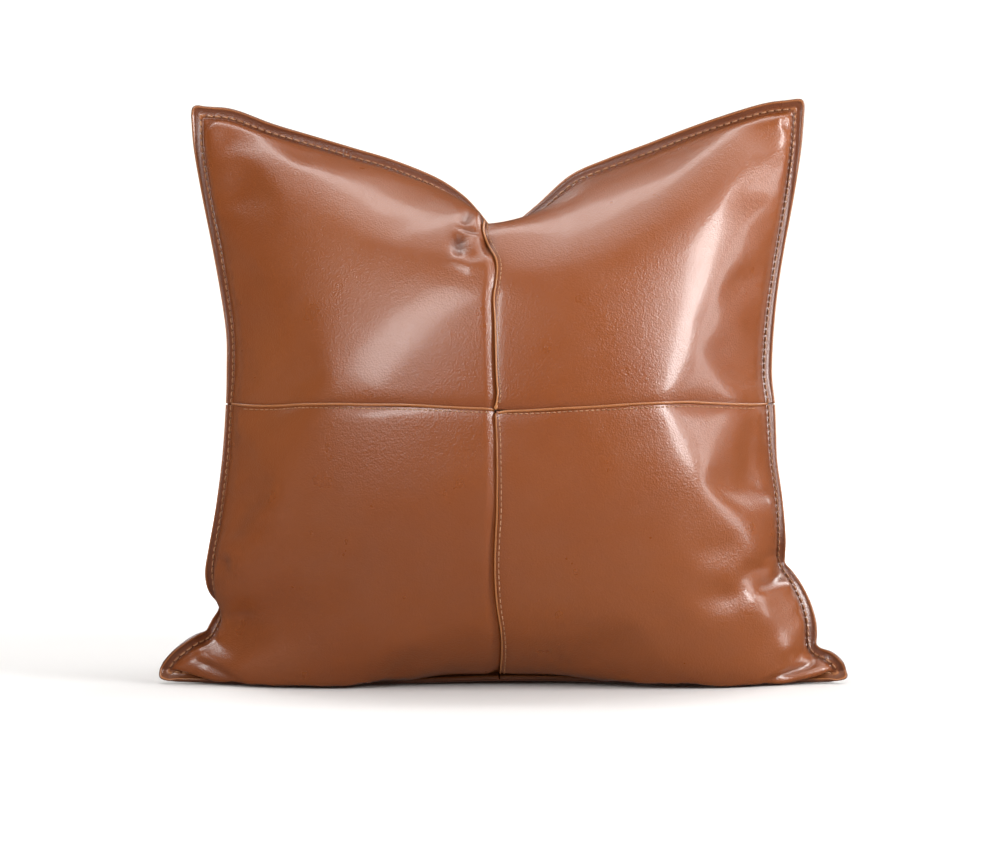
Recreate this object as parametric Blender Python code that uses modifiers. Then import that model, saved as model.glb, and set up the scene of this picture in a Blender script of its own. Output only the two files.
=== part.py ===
"""A square leather throw pillow, standing on its bottom edge and dented at the top.

The cover is four front panels, two back panels and a zip, sewn with an outer flange. Inside it is a
loose insert: two cloth panels around a core of fibre. Run it with blender --background --python part.py.

The frame is metres with +Z up. The front faces -Y, and the origin is under the middle of the object,
on the surface that it stands on.

Every sewn sheet is drawn on one map of the flat cover. A place on that map is (u, v), in metres from
the middle of the cover: u runs across it and v runs up it.
"""

import math

import bmesh
import bpy
import numpy as np

MM = 0.001

# Driving dimensions, laid flat
COVER_SIDE = 450 * MM
FLANGE_WIDTH = 8 * MM
CORNER_TRIM = 0.75
LEATHER = 1.2 * MM
CLEARANCE = 0.3 * MM

# The stuffed shape
FRONT_DEPTH = 92 * MM
BACK_DEPTH = 86 * MM
FULLNESS = 0.56
BOTTOM_FULLNESS = 3.0
TOP_FULLNESS = 2.3
SIDE_FULLNESS = 2.4
SAG = 27 * MM
SAG_HEIGHT = 22 * MM
FRONT_ARCH = 40 * MM
CHOP_ROLL = 20 * MM
CHOP_WIDTH = 66 * MM
DENT_FADE = 2.6

# The raised strip in each front seam
WELT_THICK = 1.6 * MM
WELT_PROUD = 3.4 * MM
WELT_SUNK = 2.0 * MM

# Sewing thread
THREAD_RADIUS = 0.4 * MM
STITCH_INSET = 3.7 * MM
WELT_STITCH_INSET = 1.6 * MM
ZIP_STITCH_INSET = 2.4 * MM

# The loose insert
INSERT_SHARE = 0.955
INSERT_FILL = 0.87
INSERT_DROP = 40 * MM
INSERT_CLOTH = 0.8 * MM
CORE_SHARE = 0.97
CORE_FILL = 0.9
CORE_RIM = 0.8 * MM

# The zip, in the back cover near its bottom edge
ZIP_ABOVE_SEAM = 66 * MM
ZIP_REACH = 145 * MM
ZIP_PATTERN_REACH = 170 * MM
ZIP_Y = 53.5 * MM
ZIP_Z = 40 * MM
ZIP_TILT = math.radians(-23)
ZIP_WINDOW = 4.3 * MM
ZIP_FLAT = 15 * MM
BAND_ABOVE_ZIP = 75 * MM
BAND_BELOW_ZIP = 36 * MM
TAPE_WIDTH = 12 * MM
TAPE_INNER = 0.6 * MM
TAPE_THICK = 0.6 * MM
TEETH_WIDTH = 2.0 * MM
TEETH_HEIGHT = 1.7 * MM
SLIDER_LENGTH = 10 * MM
SLIDER_HALF_WIDTH = 3.7 * MM
SLIDER_PLATE = 1.2 * MM
SLIDER_RIM = 0.7 * MM
PULL_LENGTH = 22 * MM
PULL_WIDTH = 5.4 * MM
PULL_THICK = 0.9 * MM
HINGE_HEIGHT = 4.1 * MM
SLIDER_START = 134.5 * MM

HALF = COVER_SIDE / 2
SEAM = HALF - FLANGE_WIDTH
ZIP_V = ZIP_ABOVE_SEAM - SEAM
WELT_EDGE = WELT_THICK / 2 + 2 * CLEARANCE

# The sewn outline of the stuffed cover, as points (x, y, z) in metres from its middle at the bottom.
# The left and right sides run up, and the bottom and top run from left to right.
LEFT_SIDE = [
    (-0.212, -0.014, 0.012),
    (-0.190, -0.009, 0.033),
    (-0.184, -0.004, 0.067),
    (-0.177, -0.001, 0.120),
    (-0.172, 0.005, 0.185),
    (-0.177, 0.014, 0.255),
    (-0.196, 0.028, 0.368),
]
RIGHT_SIDE = [
    (0.212, -0.014, 0.012),
    (0.196, -0.009, 0.033),
    (0.184, -0.004, 0.067),
    (0.174, -0.001, 0.120),
    (0.167, 0.005, 0.185),
    (0.174, 0.014, 0.255),
    (0.189, 0.028, 0.371),
]
BOTTOM_SIDE = [
    (-0.212, -0.014, 0.012),
    (-0.110, -0.014, 0.011),
    (0.000, -0.014, 0.013),
    (0.110, -0.014, 0.011),
    (0.212, -0.014, 0.012),
]
TOP_SIDE = [
    (-0.196, 0.028, 0.368),
    (-0.160, 0.028, 0.360),
    (-0.104, 0.026, 0.341),
    (-0.050, 0.023, 0.315),
    (-0.008, 0.020, 0.287),
    (0.040, 0.023, 0.311),
    (0.100, 0.026, 0.345),
    (0.150, 0.028, 0.363),
    (0.189, 0.028, 0.371),
]

# Where the sheets have their grid lines, in metres from the middle seam, on one half of the cover
HALF_LINES = [WELT_EDGE, 0.014, 0.036, 0.062, 0.090, 0.118, 0.145, 0.170, 0.176, 0.192, 0.205, 0.212]
HALF_LINES += [SEAM, HALF]
# The lines across the cover include the zip's two edges
BELOW_MIDDLE = [WELT_EDGE, 0.018, 0.041, 0.064, 0.085, 0.104, 0.121, 0.137]
BELOW_ZIP = [0.166, 0.179, 0.192, 0.204, 0.212, SEAM, HALF]
ABOVE_MIDDLE = [WELT_EDGE, 0.018, 0.040, 0.064, 0.090, 0.116, 0.142, 0.165, 0.184, 0.199, 0.210, SEAM, HALF]


def smooth_step(x):
    x = np.clip(x, 0.0, 1.0)
    return x * x * (3.0 - 2.0 * x)


def side_curve(points):
    """A function of the share of the length, for a smooth curve through the points."""
    p = np.array(points, float)
    p = np.vstack([2 * p[0] - p[1], p, 2 * p[-1] - p[-2]])
    t = np.linspace(0, 1, 24, endpoint=False)[:, None]
    spans = [
        0.5 * ((2 * b) + (c - a) * t + (2 * a - 5 * b + 4 * c - d) * t**2 + (3 * b - a - 3 * c + d) * t**3)
        for a, b, c, d in zip(p[:-3], p[1:-2], p[2:-1], p[3:])
    ]
    line = np.vstack(spans + [p[-2:-1]])
    along = np.concatenate([[0], np.cumsum(np.linalg.norm(np.diff(line, axis=0), axis=1))])
    along /= along[-1]
    return lambda share: np.stack([np.interp(share, along, line[:, k]) for k in range(3)], axis=-1)


LEFT, RIGHT, BOTTOM, TOP = map(side_curve, (LEFT_SIDE, RIGHT_SIDE, BOTTOM_SIDE, TOP_SIDE))


def middle_sheet(u, v):
    """The sheet half way between front and back, stretched between the four sewn sides."""
    s, t = (np.clip(w, -SEAM, SEAM) / (2 * SEAM) + 0.5 for w in (u, v))
    s1, t1 = s[..., None], t[..., None]
    corners = (
        (1 - s1) * (1 - t1) * BOTTOM(0.0)
        + s1 * (1 - t1) * BOTTOM(1.0)
        + (1 - s1) * t1 * TOP(0.0)
        + s1 * t1 * TOP(1.0)
    )
    dent = TOP(s) - (1 - s1) * TOP(0.0) - s1 * TOP(1.0)
    sides = (1 - s1) * LEFT(t) + s1 * RIGHT(t)
    return (1 - t1) * BOTTOM(s) + t1 * TOP(s) + sides - corners + dent * (t1**DENT_FADE - t1)


def swell(u, v):
    """How much of the full depth is reached at (u, v): 1 in the middle and 0 at the sewn edge."""
    a = np.clip(np.abs(u) / SEAM, 0, 1)
    b = np.clip(np.abs(v) / SEAM, 0, 1)
    height = np.where(v < 0, 1 - b**BOTTOM_FULLNESS, 1 - b**TOP_FULLNESS)
    return ((1 - a**SIDE_FULLNESS) * height) ** FULLNESS


def zip_frame():
    """The zip's middle point, its upward direction along the cloth, and its outward direction."""
    upward = np.array([0, math.sin(-ZIP_TILT), math.cos(ZIP_TILT)])
    outward = np.array([0, math.cos(ZIP_TILT), math.sin(ZIP_TILT)])
    return np.array([0, ZIP_Y, ZIP_Z]), upward, outward


def stuffed(u, v, front, fill=1.0, share=1.0):
    """The inner face of the cover's front or back. fill and share below 1 give the insert's faces."""
    middle = middle_sheet(u, v)
    shape = swell(u / share, v / share) * fill
    low = np.clip(v + SEAM * share, 0, None)
    belly = ((low / SAG_HEIGHT) * np.exp(1 - low / SAG_HEIGHT)) ** (1 if share == 1 else 2)
    across = np.abs(u) / SEAM
    arch = smooth_step((np.abs(u) - FRONT_ARCH) / (90 * MM)) if front else 1.0
    point = middle.copy()
    point[..., 1] += shape * (-FRONT_DEPTH if front else BACK_DEPTH)
    point[..., 2] -= SAG * belly * arch * np.clip(1 - across**5, 0, 1) * fill
    near_top = np.clip(v / (SEAM * share), 0, 1)
    roll = CHOP_ROLL * np.exp(-((u / CHOP_WIDTH) ** 2)) * np.sin(math.pi * near_top**2.2)
    point[..., 2] += roll * fill - INSERT_DROP * (1 - fill) * near_top**4
    rest = LEATHER + (1 - fill) * 20 * MM
    point[..., 2] = np.maximum(point[..., 2], np.minimum(rest, middle[..., 2]))
    if not front:
        point = straightened_for_zip(point, u, v, fill)
    return point


def straightened_for_zip(point, u, v, fill):
    """The back cover is straight and flat along the zip, and blends into its own shape around it."""
    centre, upward, outward = zip_frame()
    off = v - ZIP_V
    flat = centre + off[..., None] * upward - (1 - fill) * 45 * MM * outward
    flat[..., 0] = u * ZIP_REACH / ZIP_PATTERN_REACH
    beside = 1 - smooth_step((np.abs(u) - ZIP_PATTERN_REACH * fill - 4 * MM) / (32 * MM))
    band = np.where(off > 0, BAND_ABOVE_ZIP, BAND_BELOW_ZIP)
    weight = (1 - smooth_step((np.abs(off) - ZIP_FLAT) / band)) * beside
    return point + (flat - point) * weight[..., None]


def outward_along(u, v, across):
    """Outward along the flange, in the middle sheet: along u if across is true, and along v if not."""
    step = 4 * MM
    reach = SEAM - step
    inner_u = np.clip(u, -reach, reach) if across else u
    inner_v = v if across else np.clip(v, -reach, reach)
    away = middle_sheet(u, v) - middle_sheet(inner_u, inner_v)
    return away / np.maximum(np.linalg.norm(away, axis=-1, keepdims=True), 1e-9)


def cover(u, v, front):
    """The inner face of the cover, flange included. The two faces of the flange nearly touch."""
    u_seam, v_seam = np.clip(u, -SEAM, SEAM), np.clip(v, -SEAM, SEAM)
    over_u, over_v = np.abs(u) - np.abs(u_seam), np.abs(v) - np.abs(v_seam)
    trim = np.where((over_u > 0) & (over_v > 0), CORNER_TRIM, 1.0)[..., None]
    point = stuffed(u_seam, v_seam, front)
    point = point + outward_along(u_seam, v_seam, True) * over_u[..., None] * trim
    point = point + outward_along(u_seam, v_seam, False) * over_v[..., None] * trim
    point[..., 1] += CLEARANCE / 2 * (-1 if front else 1)
    return point


def lines(parts):
    return np.array(sorted(parts))


ACROSS = lines([-x for x in HALF_LINES] + HALF_LINES)
ZIP_LOW, ZIP_HIGH = ZIP_V - 1 * MM, ZIP_V + 1 * MM
UPWARD = lines([-y for y in BELOW_ZIP + BELOW_MIDDLE] + [ZIP_LOW, ZIP_HIGH] + ABOVE_MIDDLE)


def zip_edge(u, v):
    """Moves the grid lines beside the zip to the edges of its window, which closes past its ends."""
    opened = 1 - smooth_step((np.abs(u) - ZIP_PATTERN_REACH) / (6 * MM))
    half_width = CLEARANCE / 2 + (ZIP_WINDOW - CLEARANCE / 2) * opened
    v = np.where(np.abs(v - ZIP_LOW) < 1e-6, ZIP_V - half_width, v)
    return np.where(np.abs(v - ZIP_HIGH) < 1e-6, ZIP_V + half_width, v)


def material(name, colour, roughness, metallic=0.0):
    made = bpy.data.materials.get(name) or bpy.data.materials.new(name)
    made.use_nodes = True
    shader = made.node_tree.nodes["Principled BSDF"]
    shader.inputs["Base Color"].default_value = (*colour, 1)
    shader.inputs["Roughness"].default_value = roughness
    shader.inputs["Metallic"].default_value = metallic
    return made


def leather():
    return material("leather", (0.30, 0.115, 0.045), 0.32)


def thread():
    return material("thread", (0.36, 0.16, 0.07), 0.6)


def insert_cloth():
    return material("insert_cloth", (0.82, 0.81, 0.78), 0.9)


def metal():
    return material("zip_metal", (0.55, 0.42, 0.26), 0.3, 1.0)


def zip_cloth():
    return material("zip_cloth", (0.23, 0.12, 0.07), 0.85)


def zip_coil():
    return material("zip_coil", (0.16, 0.08, 0.045), 0.45)


def add(name, mesh, made_of):
    obj = bpy.data.objects.new(name, mesh)
    obj.data.materials.clear()
    obj.data.materials.append(made_of)
    PILLOW.objects.link(obj)
    return obj


def grid(columns, rows, place, facing_front):
    """A flat grid on these lines, with every quad split the same way, moved to place(u, v)."""
    mesh = bmesh.new()
    bmesh.ops.create_grid(mesh, x_segments=len(columns) - 1, y_segments=len(rows) - 1, size=1.0)
    bmesh.ops.triangulate(mesh, faces=mesh.faces[:], quad_method="FIXED")
    mesh.verts.ensure_lookup_table()
    flat = np.array([v.co[:2] for v in mesh.verts])
    column = np.rint((flat[:, 0] + 1) / 2 * (len(columns) - 1)).astype(int)
    row = np.rint((flat[:, 1] + 1) / 2 * (len(rows) - 1)).astype(int)
    for vert, point in zip(mesh.verts, place(columns[column], rows[row])):
        vert.co = point
    if not facing_front:
        bmesh.ops.reverse_faces(mesh, faces=mesh.faces[:])
    return mesh


def sheet(name, columns, rows, place, facing_front, thickness, made_of):
    """A sewn panel: its inner face is the grid, and Solidify adds the thickness outside it."""
    mesh = grid(columns, rows, place, facing_front)
    data = bpy.data.meshes.new(name)
    mesh.to_mesh(data)
    mesh.free()
    data.shade_smooth()
    obj = add(name, data, made_of)
    solid = obj.modifiers.new("thickness", "SOLIDIFY")
    solid.thickness = thickness
    solid.offset = 1.0
    return obj


def between(values, low, high):
    return values[(values > low - 1e-6) & (values < high + 1e-6)]


def build_front():
    """Four panels that meet at the welts."""
    for side, low_u, high_u in (("left", -HALF, -WELT_EDGE), ("right", WELT_EDGE, HALF)):
        for level, low_v, high_v in (("lower", -HALF, -WELT_EDGE), ("upper", WELT_EDGE, HALF)):
            sheet(
                f"front_panel_{level}_{side}",
                between(ACROSS, low_u, high_u),
                between(UPWARD, low_v, high_v),
                lambda u, v: cover(u, zip_edge(u, v), True),
                True,
                LEATHER,
                leather(),
            )


def build_back():
    """A wide panel above the zip and a narrow one below it."""
    for name, low_v, high_v in (("back_panel_lower", -HALF, ZIP_LOW), ("back_panel_upper", ZIP_HIGH, HALF)):
        sheet(
            name,
            ACROSS,
            between(UPWARD, low_v, high_v),
            lambda u, v: cover(u, zip_edge(u, v), False),
            False,
            LEATHER,
            leather(),
        )


def front_normal(u, v):
    """The outward direction of the front cover."""
    step = 2 * MM
    du = cover(u + step, v, True) - cover(u - step, v, True)
    dv = cover(u, v + step, True) - cover(u, v - step, True)
    normal = np.cross(du, dv)
    return normal / np.linalg.norm(normal, axis=-1, keepdims=True)


def build_welts():
    """A folded strip of leather stands up out of each of the four front seams."""
    tip = SEAM - 3 * MM
    clear = WELT_EDGE + CLEARANCE
    runs = {
        "seam_welt_lower": (between(UPWARD, -tip, -clear - 1 * MM), True),
        "seam_welt_upper": (between(UPWARD, clear + 1 * MM, tip), True),
        "seam_welt_left": (between(ACROSS, -tip, -clear - 1 * MM), False),
        "seam_welt_right": (between(ACROSS, clear + 1 * MM, tip), False),
    }
    for name, (stations, upright) in runs.items():
        ends = [clear * np.sign(stations[0]), tip * np.sign(stations[0])]
        stations = lines([*stations, *ends])

        def place(along, height, upright=upright):
            u, v = (np.zeros_like(along), along) if upright else (along, np.zeros_like(along))
            return cover(u, v, True) + front_normal(u, v) * height[:, None]

        obj = sheet(name, stations, np.array([-WELT_SUNK, WELT_PROUD]), place, True, WELT_THICK, leather())
        obj.modifiers["thickness"].offset = 0.0


def tube(name, points, radius, made_of):
    curve = bpy.data.curves.new(name, "CURVE")
    curve.dimensions = "3D"
    curve.bevel_depth = radius
    curve.bevel_resolution = 0
    curve.use_fill_caps = True
    spline = curve.splines.new("POLY")
    spline.points.add(len(points) - 1)
    for target, point in zip(spline.points, points):
        target.co = (*point, 1.0)
    return add(name, curve, made_of)


def flange_line(side, front):
    """Points of a stitch line along one side of the flange, just clear of the leather."""
    upright = side in ("left", "right")
    inset = (HALF - STITCH_INSET) * (-1 if side in ("bottom", "left") else 1)
    end = SEAM - 3 * MM
    stations = between(UPWARD if upright else ACROSS, -end, end)
    stations = lines([-end, *stations, end])
    along = zip_edge(0 * stations, stations) if upright else stations
    fixed = np.full_like(along, inset)
    u, v = (fixed, along) if upright else (along, fixed)
    point = cover(u, v, front)
    tangent = np.gradient(point, axis=0)
    u_seam, v_seam = np.clip(u, -SEAM, SEAM), np.clip(v, -SEAM, SEAM)
    normal = np.cross(tangent, outward_along(u_seam, v_seam, upright))
    normal /= np.linalg.norm(normal, axis=-1, keepdims=True)
    facing = np.sign(normal[:, 1:2]) * (-1.0 if front else 1.0)
    return point + normal * facing * (LEATHER + THREAD_RADIUS + CLEARANCE)


def seam_line(run):
    """Points of the stitch line beside one welt: to the right of an upright one, below a level one."""
    upright = run in ("lower", "upper")
    sign = -1 if run in ("lower", "left") else 1
    stations = UPWARD if upright else ACROSS
    start, end = 6 * MM, SEAM - 6 * MM
    stations = between(stations * sign, start + 2 * MM, end - 2 * MM)
    along = sign * lines([start, *stations, end])
    beside = WELT_EDGE + WELT_STITCH_INSET
    u, v = (0 * along + beside, along) if upright else (along, 0 * along - beside)
    return cover(u, v, True) + front_normal(u, v) * (LEATHER + THREAD_RADIUS + CLEARANCE)


def build_threads():
    """The lines of stitching along the flange, front and back, and beside the four welts."""
    for side in ("bottom", "top", "left", "right"):
        for face in ("front", "back"):
            line = flange_line(side, face == "front")
            tube(f"stitching_{face}_{side}", line, THREAD_RADIUS, thread())
    for run in ("lower", "upper", "left", "right"):
        tube(f"welt_stitching_{run}", seam_line(run), THREAD_RADIUS, thread())


def on_zip(x, up, out):
    """A point given along the zip, up the cloth and outward from the cover's inner face."""
    centre, upward, outward = zip_frame()
    return centre + np.array([x, 0, 0]) + up * upward + out * outward


def block(name, low, high, made_of, bevel=0.0):
    """A box in the zip's own directions."""
    mesh = bmesh.new()
    bmesh.ops.create_cube(mesh, size=1.0)
    middle, size = (np.array(high) + np.array(low)) / 2, np.array(high) - np.array(low)
    for vert in mesh.verts:
        vert.co = middle + np.array(vert.co) * size
    if bevel:
        bmesh.ops.bevel(mesh, geom=mesh.edges[:], offset=bevel, segments=2, profile=0.5, affect="EDGES")
    for vert in mesh.verts:
        vert.co = on_zip(*vert.co)
    bmesh.ops.reverse_faces(mesh, faces=mesh.faces[:])
    data = bpy.data.meshes.new(name)
    mesh.to_mesh(data)
    mesh.free()
    return add(name, data, made_of)


def join_solids(target, others):
    """Unites overlapping blocks into one solid."""
    for other in others:
        union = target.modifiers.new("with " + other.name, "BOOLEAN")
        union.operation = "UNION"
        union.solver = "EXACT"
        union.object = other
        move_to_cutters(other)


def cut(target, cutter):
    difference = target.modifiers.new("cut by " + cutter.name, "BOOLEAN")
    difference.operation = "DIFFERENCE"
    difference.solver = "EXACT"
    difference.object = cutter
    move_to_cutters(cutter)


def move_to_cutters(obj):
    PILLOW.objects.unlink(obj)
    CUTTERS.objects.link(obj)
    obj.hide_render = True
    obj.display_type = "WIRE"


def build_zip():
    """A coil zip: two tapes with a row of teeth each, end stops, a slider and its pull tab."""
    reach = ZIP_REACH - 1 * MM
    tape_top = -CLEARANCE
    teeth_floor = tape_top + CLEARANCE
    for name, side in (("upper", 1), ("lower", -1)):
        inner, outer = sorted((side * TAPE_INNER, side * (TAPE_INNER + TAPE_WIDTH)))
        block(
            f"zip_tape_{name}", (-reach, inner, tape_top - TAPE_THICK), (reach, outer, tape_top), zip_cloth()
        )
        inner, outer = sorted((side * TAPE_INNER, side * (TAPE_INNER + TEETH_WIDTH)))
        length = reach - 4 * MM
        block(
            f"zip_teeth_{name}",
            (-length, inner, teeth_floor),
            (length, outer, teeth_floor + TEETH_HEIGHT),
            zip_coil(),
            0.3 * MM,
        )
        inset = side * (ZIP_WINDOW + ZIP_STITCH_INSET)
        height = LEATHER + THREAD_RADIUS + CLEARANCE
        seam = [on_zip(x, inset, height) for x in (-reach, reach)]
        tube(f"zip_stitching_{name}", seam, THREAD_RADIUS, thread())
        stop_low = (length + CLEARANCE, inner, teeth_floor)
        stop_high = (length + 2.6 * MM, outer, teeth_floor + TEETH_HEIGHT + 0.3 * MM)
        block(f"zip_top_stop_{name}", stop_low, stop_high, metal(), 0.3 * MM)
    width = TAPE_INNER + TEETH_WIDTH
    block(
        "zip_bottom_stop",
        (-length - 3 * MM, -width, teeth_floor),
        (-length - CLEARANCE, width, teeth_floor + TEETH_HEIGHT + 0.3 * MM),
        metal(),
        0.3 * MM,
    )
    build_slider(teeth_floor + TEETH_HEIGHT + CLEARANCE)
    build_pull_tab()


def build_slider(plate_floor):
    """The slider's two plates are joined by a post that runs between the rows of teeth."""
    half, width = SLIDER_LENGTH / 2, SLIDER_HALF_WIDTH
    plate_top = plate_floor + SLIDER_PLATE
    x = SLIDER_START
    low_top = -2 * CLEARANCE - TAPE_THICK
    low_floor = low_top - SLIDER_PLATE
    slider = block("zip_slider", (x - half, -width, plate_floor), (x + half, width, plate_top), metal())
    inside_top = plate_top - 0.2 * MM
    extents = {
        "slider_post": ((x - half, -0.3 * MM, low_floor + 0.2 * MM), (x - 2 * MM, 0.3 * MM, inside_top)),
        "slider_floor": ((x - half, -width, low_floor), (x + half, width, low_top)),
        "slider_bridge": (
            (x - 3.3 * MM, -1.1 * MM, inside_top),
            (x + 3.3 * MM, 1.1 * MM, HINGE_HEIGHT + 1.8 * MM),
        ),
    }
    for name, side in (("upper", 1), ("lower", -1)):
        near, far = sorted((side * (width - SLIDER_RIM), side * width))
        extents[f"slider_rim_{name}"] = ((x - half, near, 0.3 * MM), (x + half, far, inside_top))
    parts = [block(name, low, high, metal()) for name, (low, high) in extents.items()]
    join_solids(slider, parts)
    eye = block(
        "slider_eye",
        (x - 2.2 * MM, -2 * MM, HINGE_HEIGHT - 0.9 * MM),
        (x + 2.2 * MM, 2 * MM, HINGE_HEIGHT + 0.9 * MM),
        metal(),
    )
    cut(slider, eye)


def build_pull_tab():
    """The tab lies along the zip. Its bar passes through the slider's bridge and is its hinge."""
    x = SLIDER_START
    half = PULL_WIDTH / 2
    thick = PULL_THICK / 2
    floor, top = HINGE_HEIGHT - thick, HINGE_HEIGHT + thick
    bar = 0.55 * MM
    tab = block(
        "zip_pull_tab", (x - PULL_LENGTH, -half, floor), (x + bar, half, top), metal(), 0.25 * MM
    )
    window = block(
        "pull_window",
        (x - 4.6 * MM, -1.6 * MM, floor - 1 * MM),
        (x - bar, 1.6 * MM, top + 1 * MM),
        metal(),
    )
    cut(tab, window)


def build_insert():
    """The loose inner pillow: two cloth panels sewn edge to edge around a core of fibre."""
    reach = SEAM * INSERT_SHARE
    stations = np.sin(np.linspace(-1, 1, 15) * math.pi / 2) * reach
    for name, front in (("insert_cloth_front", True), ("insert_cloth_back", False)):

        def place(u, v, front=front):
            point = stuffed(u, v, front, INSERT_FILL, INSERT_SHARE)
            point[..., 1] += 1.5 * CLEARANCE * (-1 if front else 1)
            return point

        sheet(name, stations, stations, place, front, INSERT_CLOTH, insert_cloth())
    build_fibre(stations * CORE_SHARE)


def build_fibre(stations):
    """The core is a closed cushion, with a narrow rim between its front and its back."""
    fill = INSERT_FILL * CORE_FILL
    mesh = bmesh.new()
    for front in (True, False):

        def place(u, v, front=front):
            point = stuffed(u, v, front, fill, INSERT_SHARE * CORE_SHARE)
            point[..., 1] += CORE_RIM / 2 * (-1 if front else 1)
            return point

        half = grid(stations, stations, place, front)
        data = bpy.data.meshes.new("half")
        half.to_mesh(data)
        half.free()
        mesh.from_mesh(data)
        bpy.data.meshes.remove(data)
    rim = [edge for edge in mesh.edges if edge.is_boundary]
    bmesh.ops.bridge_loops(mesh, edges=rim)
    bmesh.ops.recalc_face_normals(mesh, faces=mesh.faces[:])
    data = bpy.data.meshes.new("fibre_core")
    mesh.to_mesh(data)
    mesh.free()
    data.shade_smooth()
    add("fibre_core", data, material("fibre", (0.9, 0.9, 0.89), 1.0))


def main():
    global PILLOW, CUTTERS
    for obj in list(bpy.data.objects):
        bpy.data.objects.remove(obj)
    PILLOW = bpy.data.collections.new("throw_pillow")
    CUTTERS = bpy.data.collections.new("cutters")
    for collection in (PILLOW, CUTTERS):
        bpy.context.scene.collection.children.link(collection)
    build_front()
    build_back()
    build_welts()
    build_threads()
    build_zip()
    build_insert()


main()
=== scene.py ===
"""Looks for the throw pillow: a leather cushion with a flange, a raised cross seam and a zipped back.

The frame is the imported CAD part, in metres, with +Z up and the front facing -Y. Every sewn piece is drawn
on one map of the flat cover. A place on that map is (u, v), in metres from the middle of the cover: u runs
across it and v runs up it.
"""

import math

import bmesh
import bpy
import numpy as np
from mathutils import Matrix, Vector


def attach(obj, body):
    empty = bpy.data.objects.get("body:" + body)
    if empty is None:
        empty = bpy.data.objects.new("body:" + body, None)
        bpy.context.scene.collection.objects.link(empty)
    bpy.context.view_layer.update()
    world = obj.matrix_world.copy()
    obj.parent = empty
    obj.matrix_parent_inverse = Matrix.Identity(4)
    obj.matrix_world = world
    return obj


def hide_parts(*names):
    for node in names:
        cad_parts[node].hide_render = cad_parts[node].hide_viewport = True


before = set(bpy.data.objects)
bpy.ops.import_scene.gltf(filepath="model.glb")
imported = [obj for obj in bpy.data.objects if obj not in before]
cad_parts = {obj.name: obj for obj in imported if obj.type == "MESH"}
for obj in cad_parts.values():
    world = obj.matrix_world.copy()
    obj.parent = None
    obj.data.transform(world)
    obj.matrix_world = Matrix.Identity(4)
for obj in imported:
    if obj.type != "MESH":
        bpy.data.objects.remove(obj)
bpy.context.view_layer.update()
MM = 0.001

# The cover, laid flat
COVER_HALF = 225 * MM
FLANGE = 8 * MM
SEAM = COVER_HALF - FLANGE
LEATHER = 1.2 * MM

# The stuffed shape. It sags by SAG near the foot, less in the middle of the front, and the chop that dents
# the top raises the cloth under it.
FRONT_DEPTH = 92 * MM
BACK_DEPTH = 86 * MM
FULLNESS = 0.56
BOTTOM_FULLNESS = 3.0
TOP_FULLNESS = 2.3
SIDE_FULLNESS = 2.4
SAG = 27 * MM
SAG_HEIGHT = 22 * MM
FRONT_ARCH = 30 * MM
FRONT_ARCH_RUN = 130 * MM
FRONT_ARCH_LEAST = 0.48
SLIM_FOOT = 0.3
SLIM_FOOT_WIDTH = 120 * MM
SLIM_FOOT_TOP = 100 * MM
SLIM_FOOT_RUN = 90 * MM
CHOP_ROLL = 20 * MM
CHOP_WIDTH = 66 * MM
DENT_FADE = 2.6

# The zip's place, which the CAD sets
ZIP_V = 66 * MM - SEAM
ZIP_REACH = 145 * MM
ZIP_PATTERN_REACH = 170 * MM
ZIP_CENTRE = np.array([0, 53.5, 40]) * MM
ZIP_TILT = math.radians(-23)
ZIP_FLAT = 15 * MM
ZIP_CALM = 4 * MM
ZIP_FADE = 32 * MM
BAND_ABOVE_ZIP = 75 * MM
BAND_BELOW_ZIP = 36 * MM
ZIP_UP = np.array([0, math.sin(-ZIP_TILT), math.cos(ZIP_TILT)])
ZIP_OUT = np.array([0, math.cos(ZIP_TILT), math.sin(ZIP_TILT)])

# The sewn outline, in millimetres: each row is a place on the seam line, then the flange's outer edge
# beside it. The left and right sides run up and the others run from left to right. A row marked as the
# middle is where the cross seams end.
LEFT = [
    (-213, -16, 8, -220, -17, 9.5),
    (-211, -17, 12, -217.5, -18, 14),
    (-206.5, -17, 16.5, -212, -18, 20.5),
    (-201.5, -16, 20.5, -204, -17, 27),
    (-196.5, -13, 24, -197, -14, 31),
    (-191, -9, 26, -192.5, -8, 32.5),
    (-186.5, -5, 29, -191.5, -2, 33),
    (-183.5, 1, 35, -188.5, 5, 39),
    (-182, 9, 42, -184.5, 14.5, 45),
    (-183, 13, 48, -186, 19, 49.5),
    (-185, 11, 54, -190, 15, 55),
    (-186, 6, 61, -192.5, 8, 61.5),
    (-186.5, 2, 71, -193, 4, 71),
    (-184.5, -1, 84.5, -190.5, 3, 84),
    (-182, -2, 98, -188, 1, 97),
    (-179, -2, 117, -184.5, 2, 117),
    (-175.5, 0, 146, -181, 5, 146),
    (-174, 4, 179, -179, 9, 179),
    (-173, 7, 201, -179, 11, 201),
    (-173.5, 10, 224, -179.5, 14, 224),
    (-177, 14, 250, -183.5, 18, 250.5),
    (-183, 18, 283, -190, 21, 284),
    (-190, 22, 316, -197, 24, 317),
    (-195, 25, 346, -202.5, 26, 347),
    (-196.5, 28, 367, -204.5, 28, 368.5),
]
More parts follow.
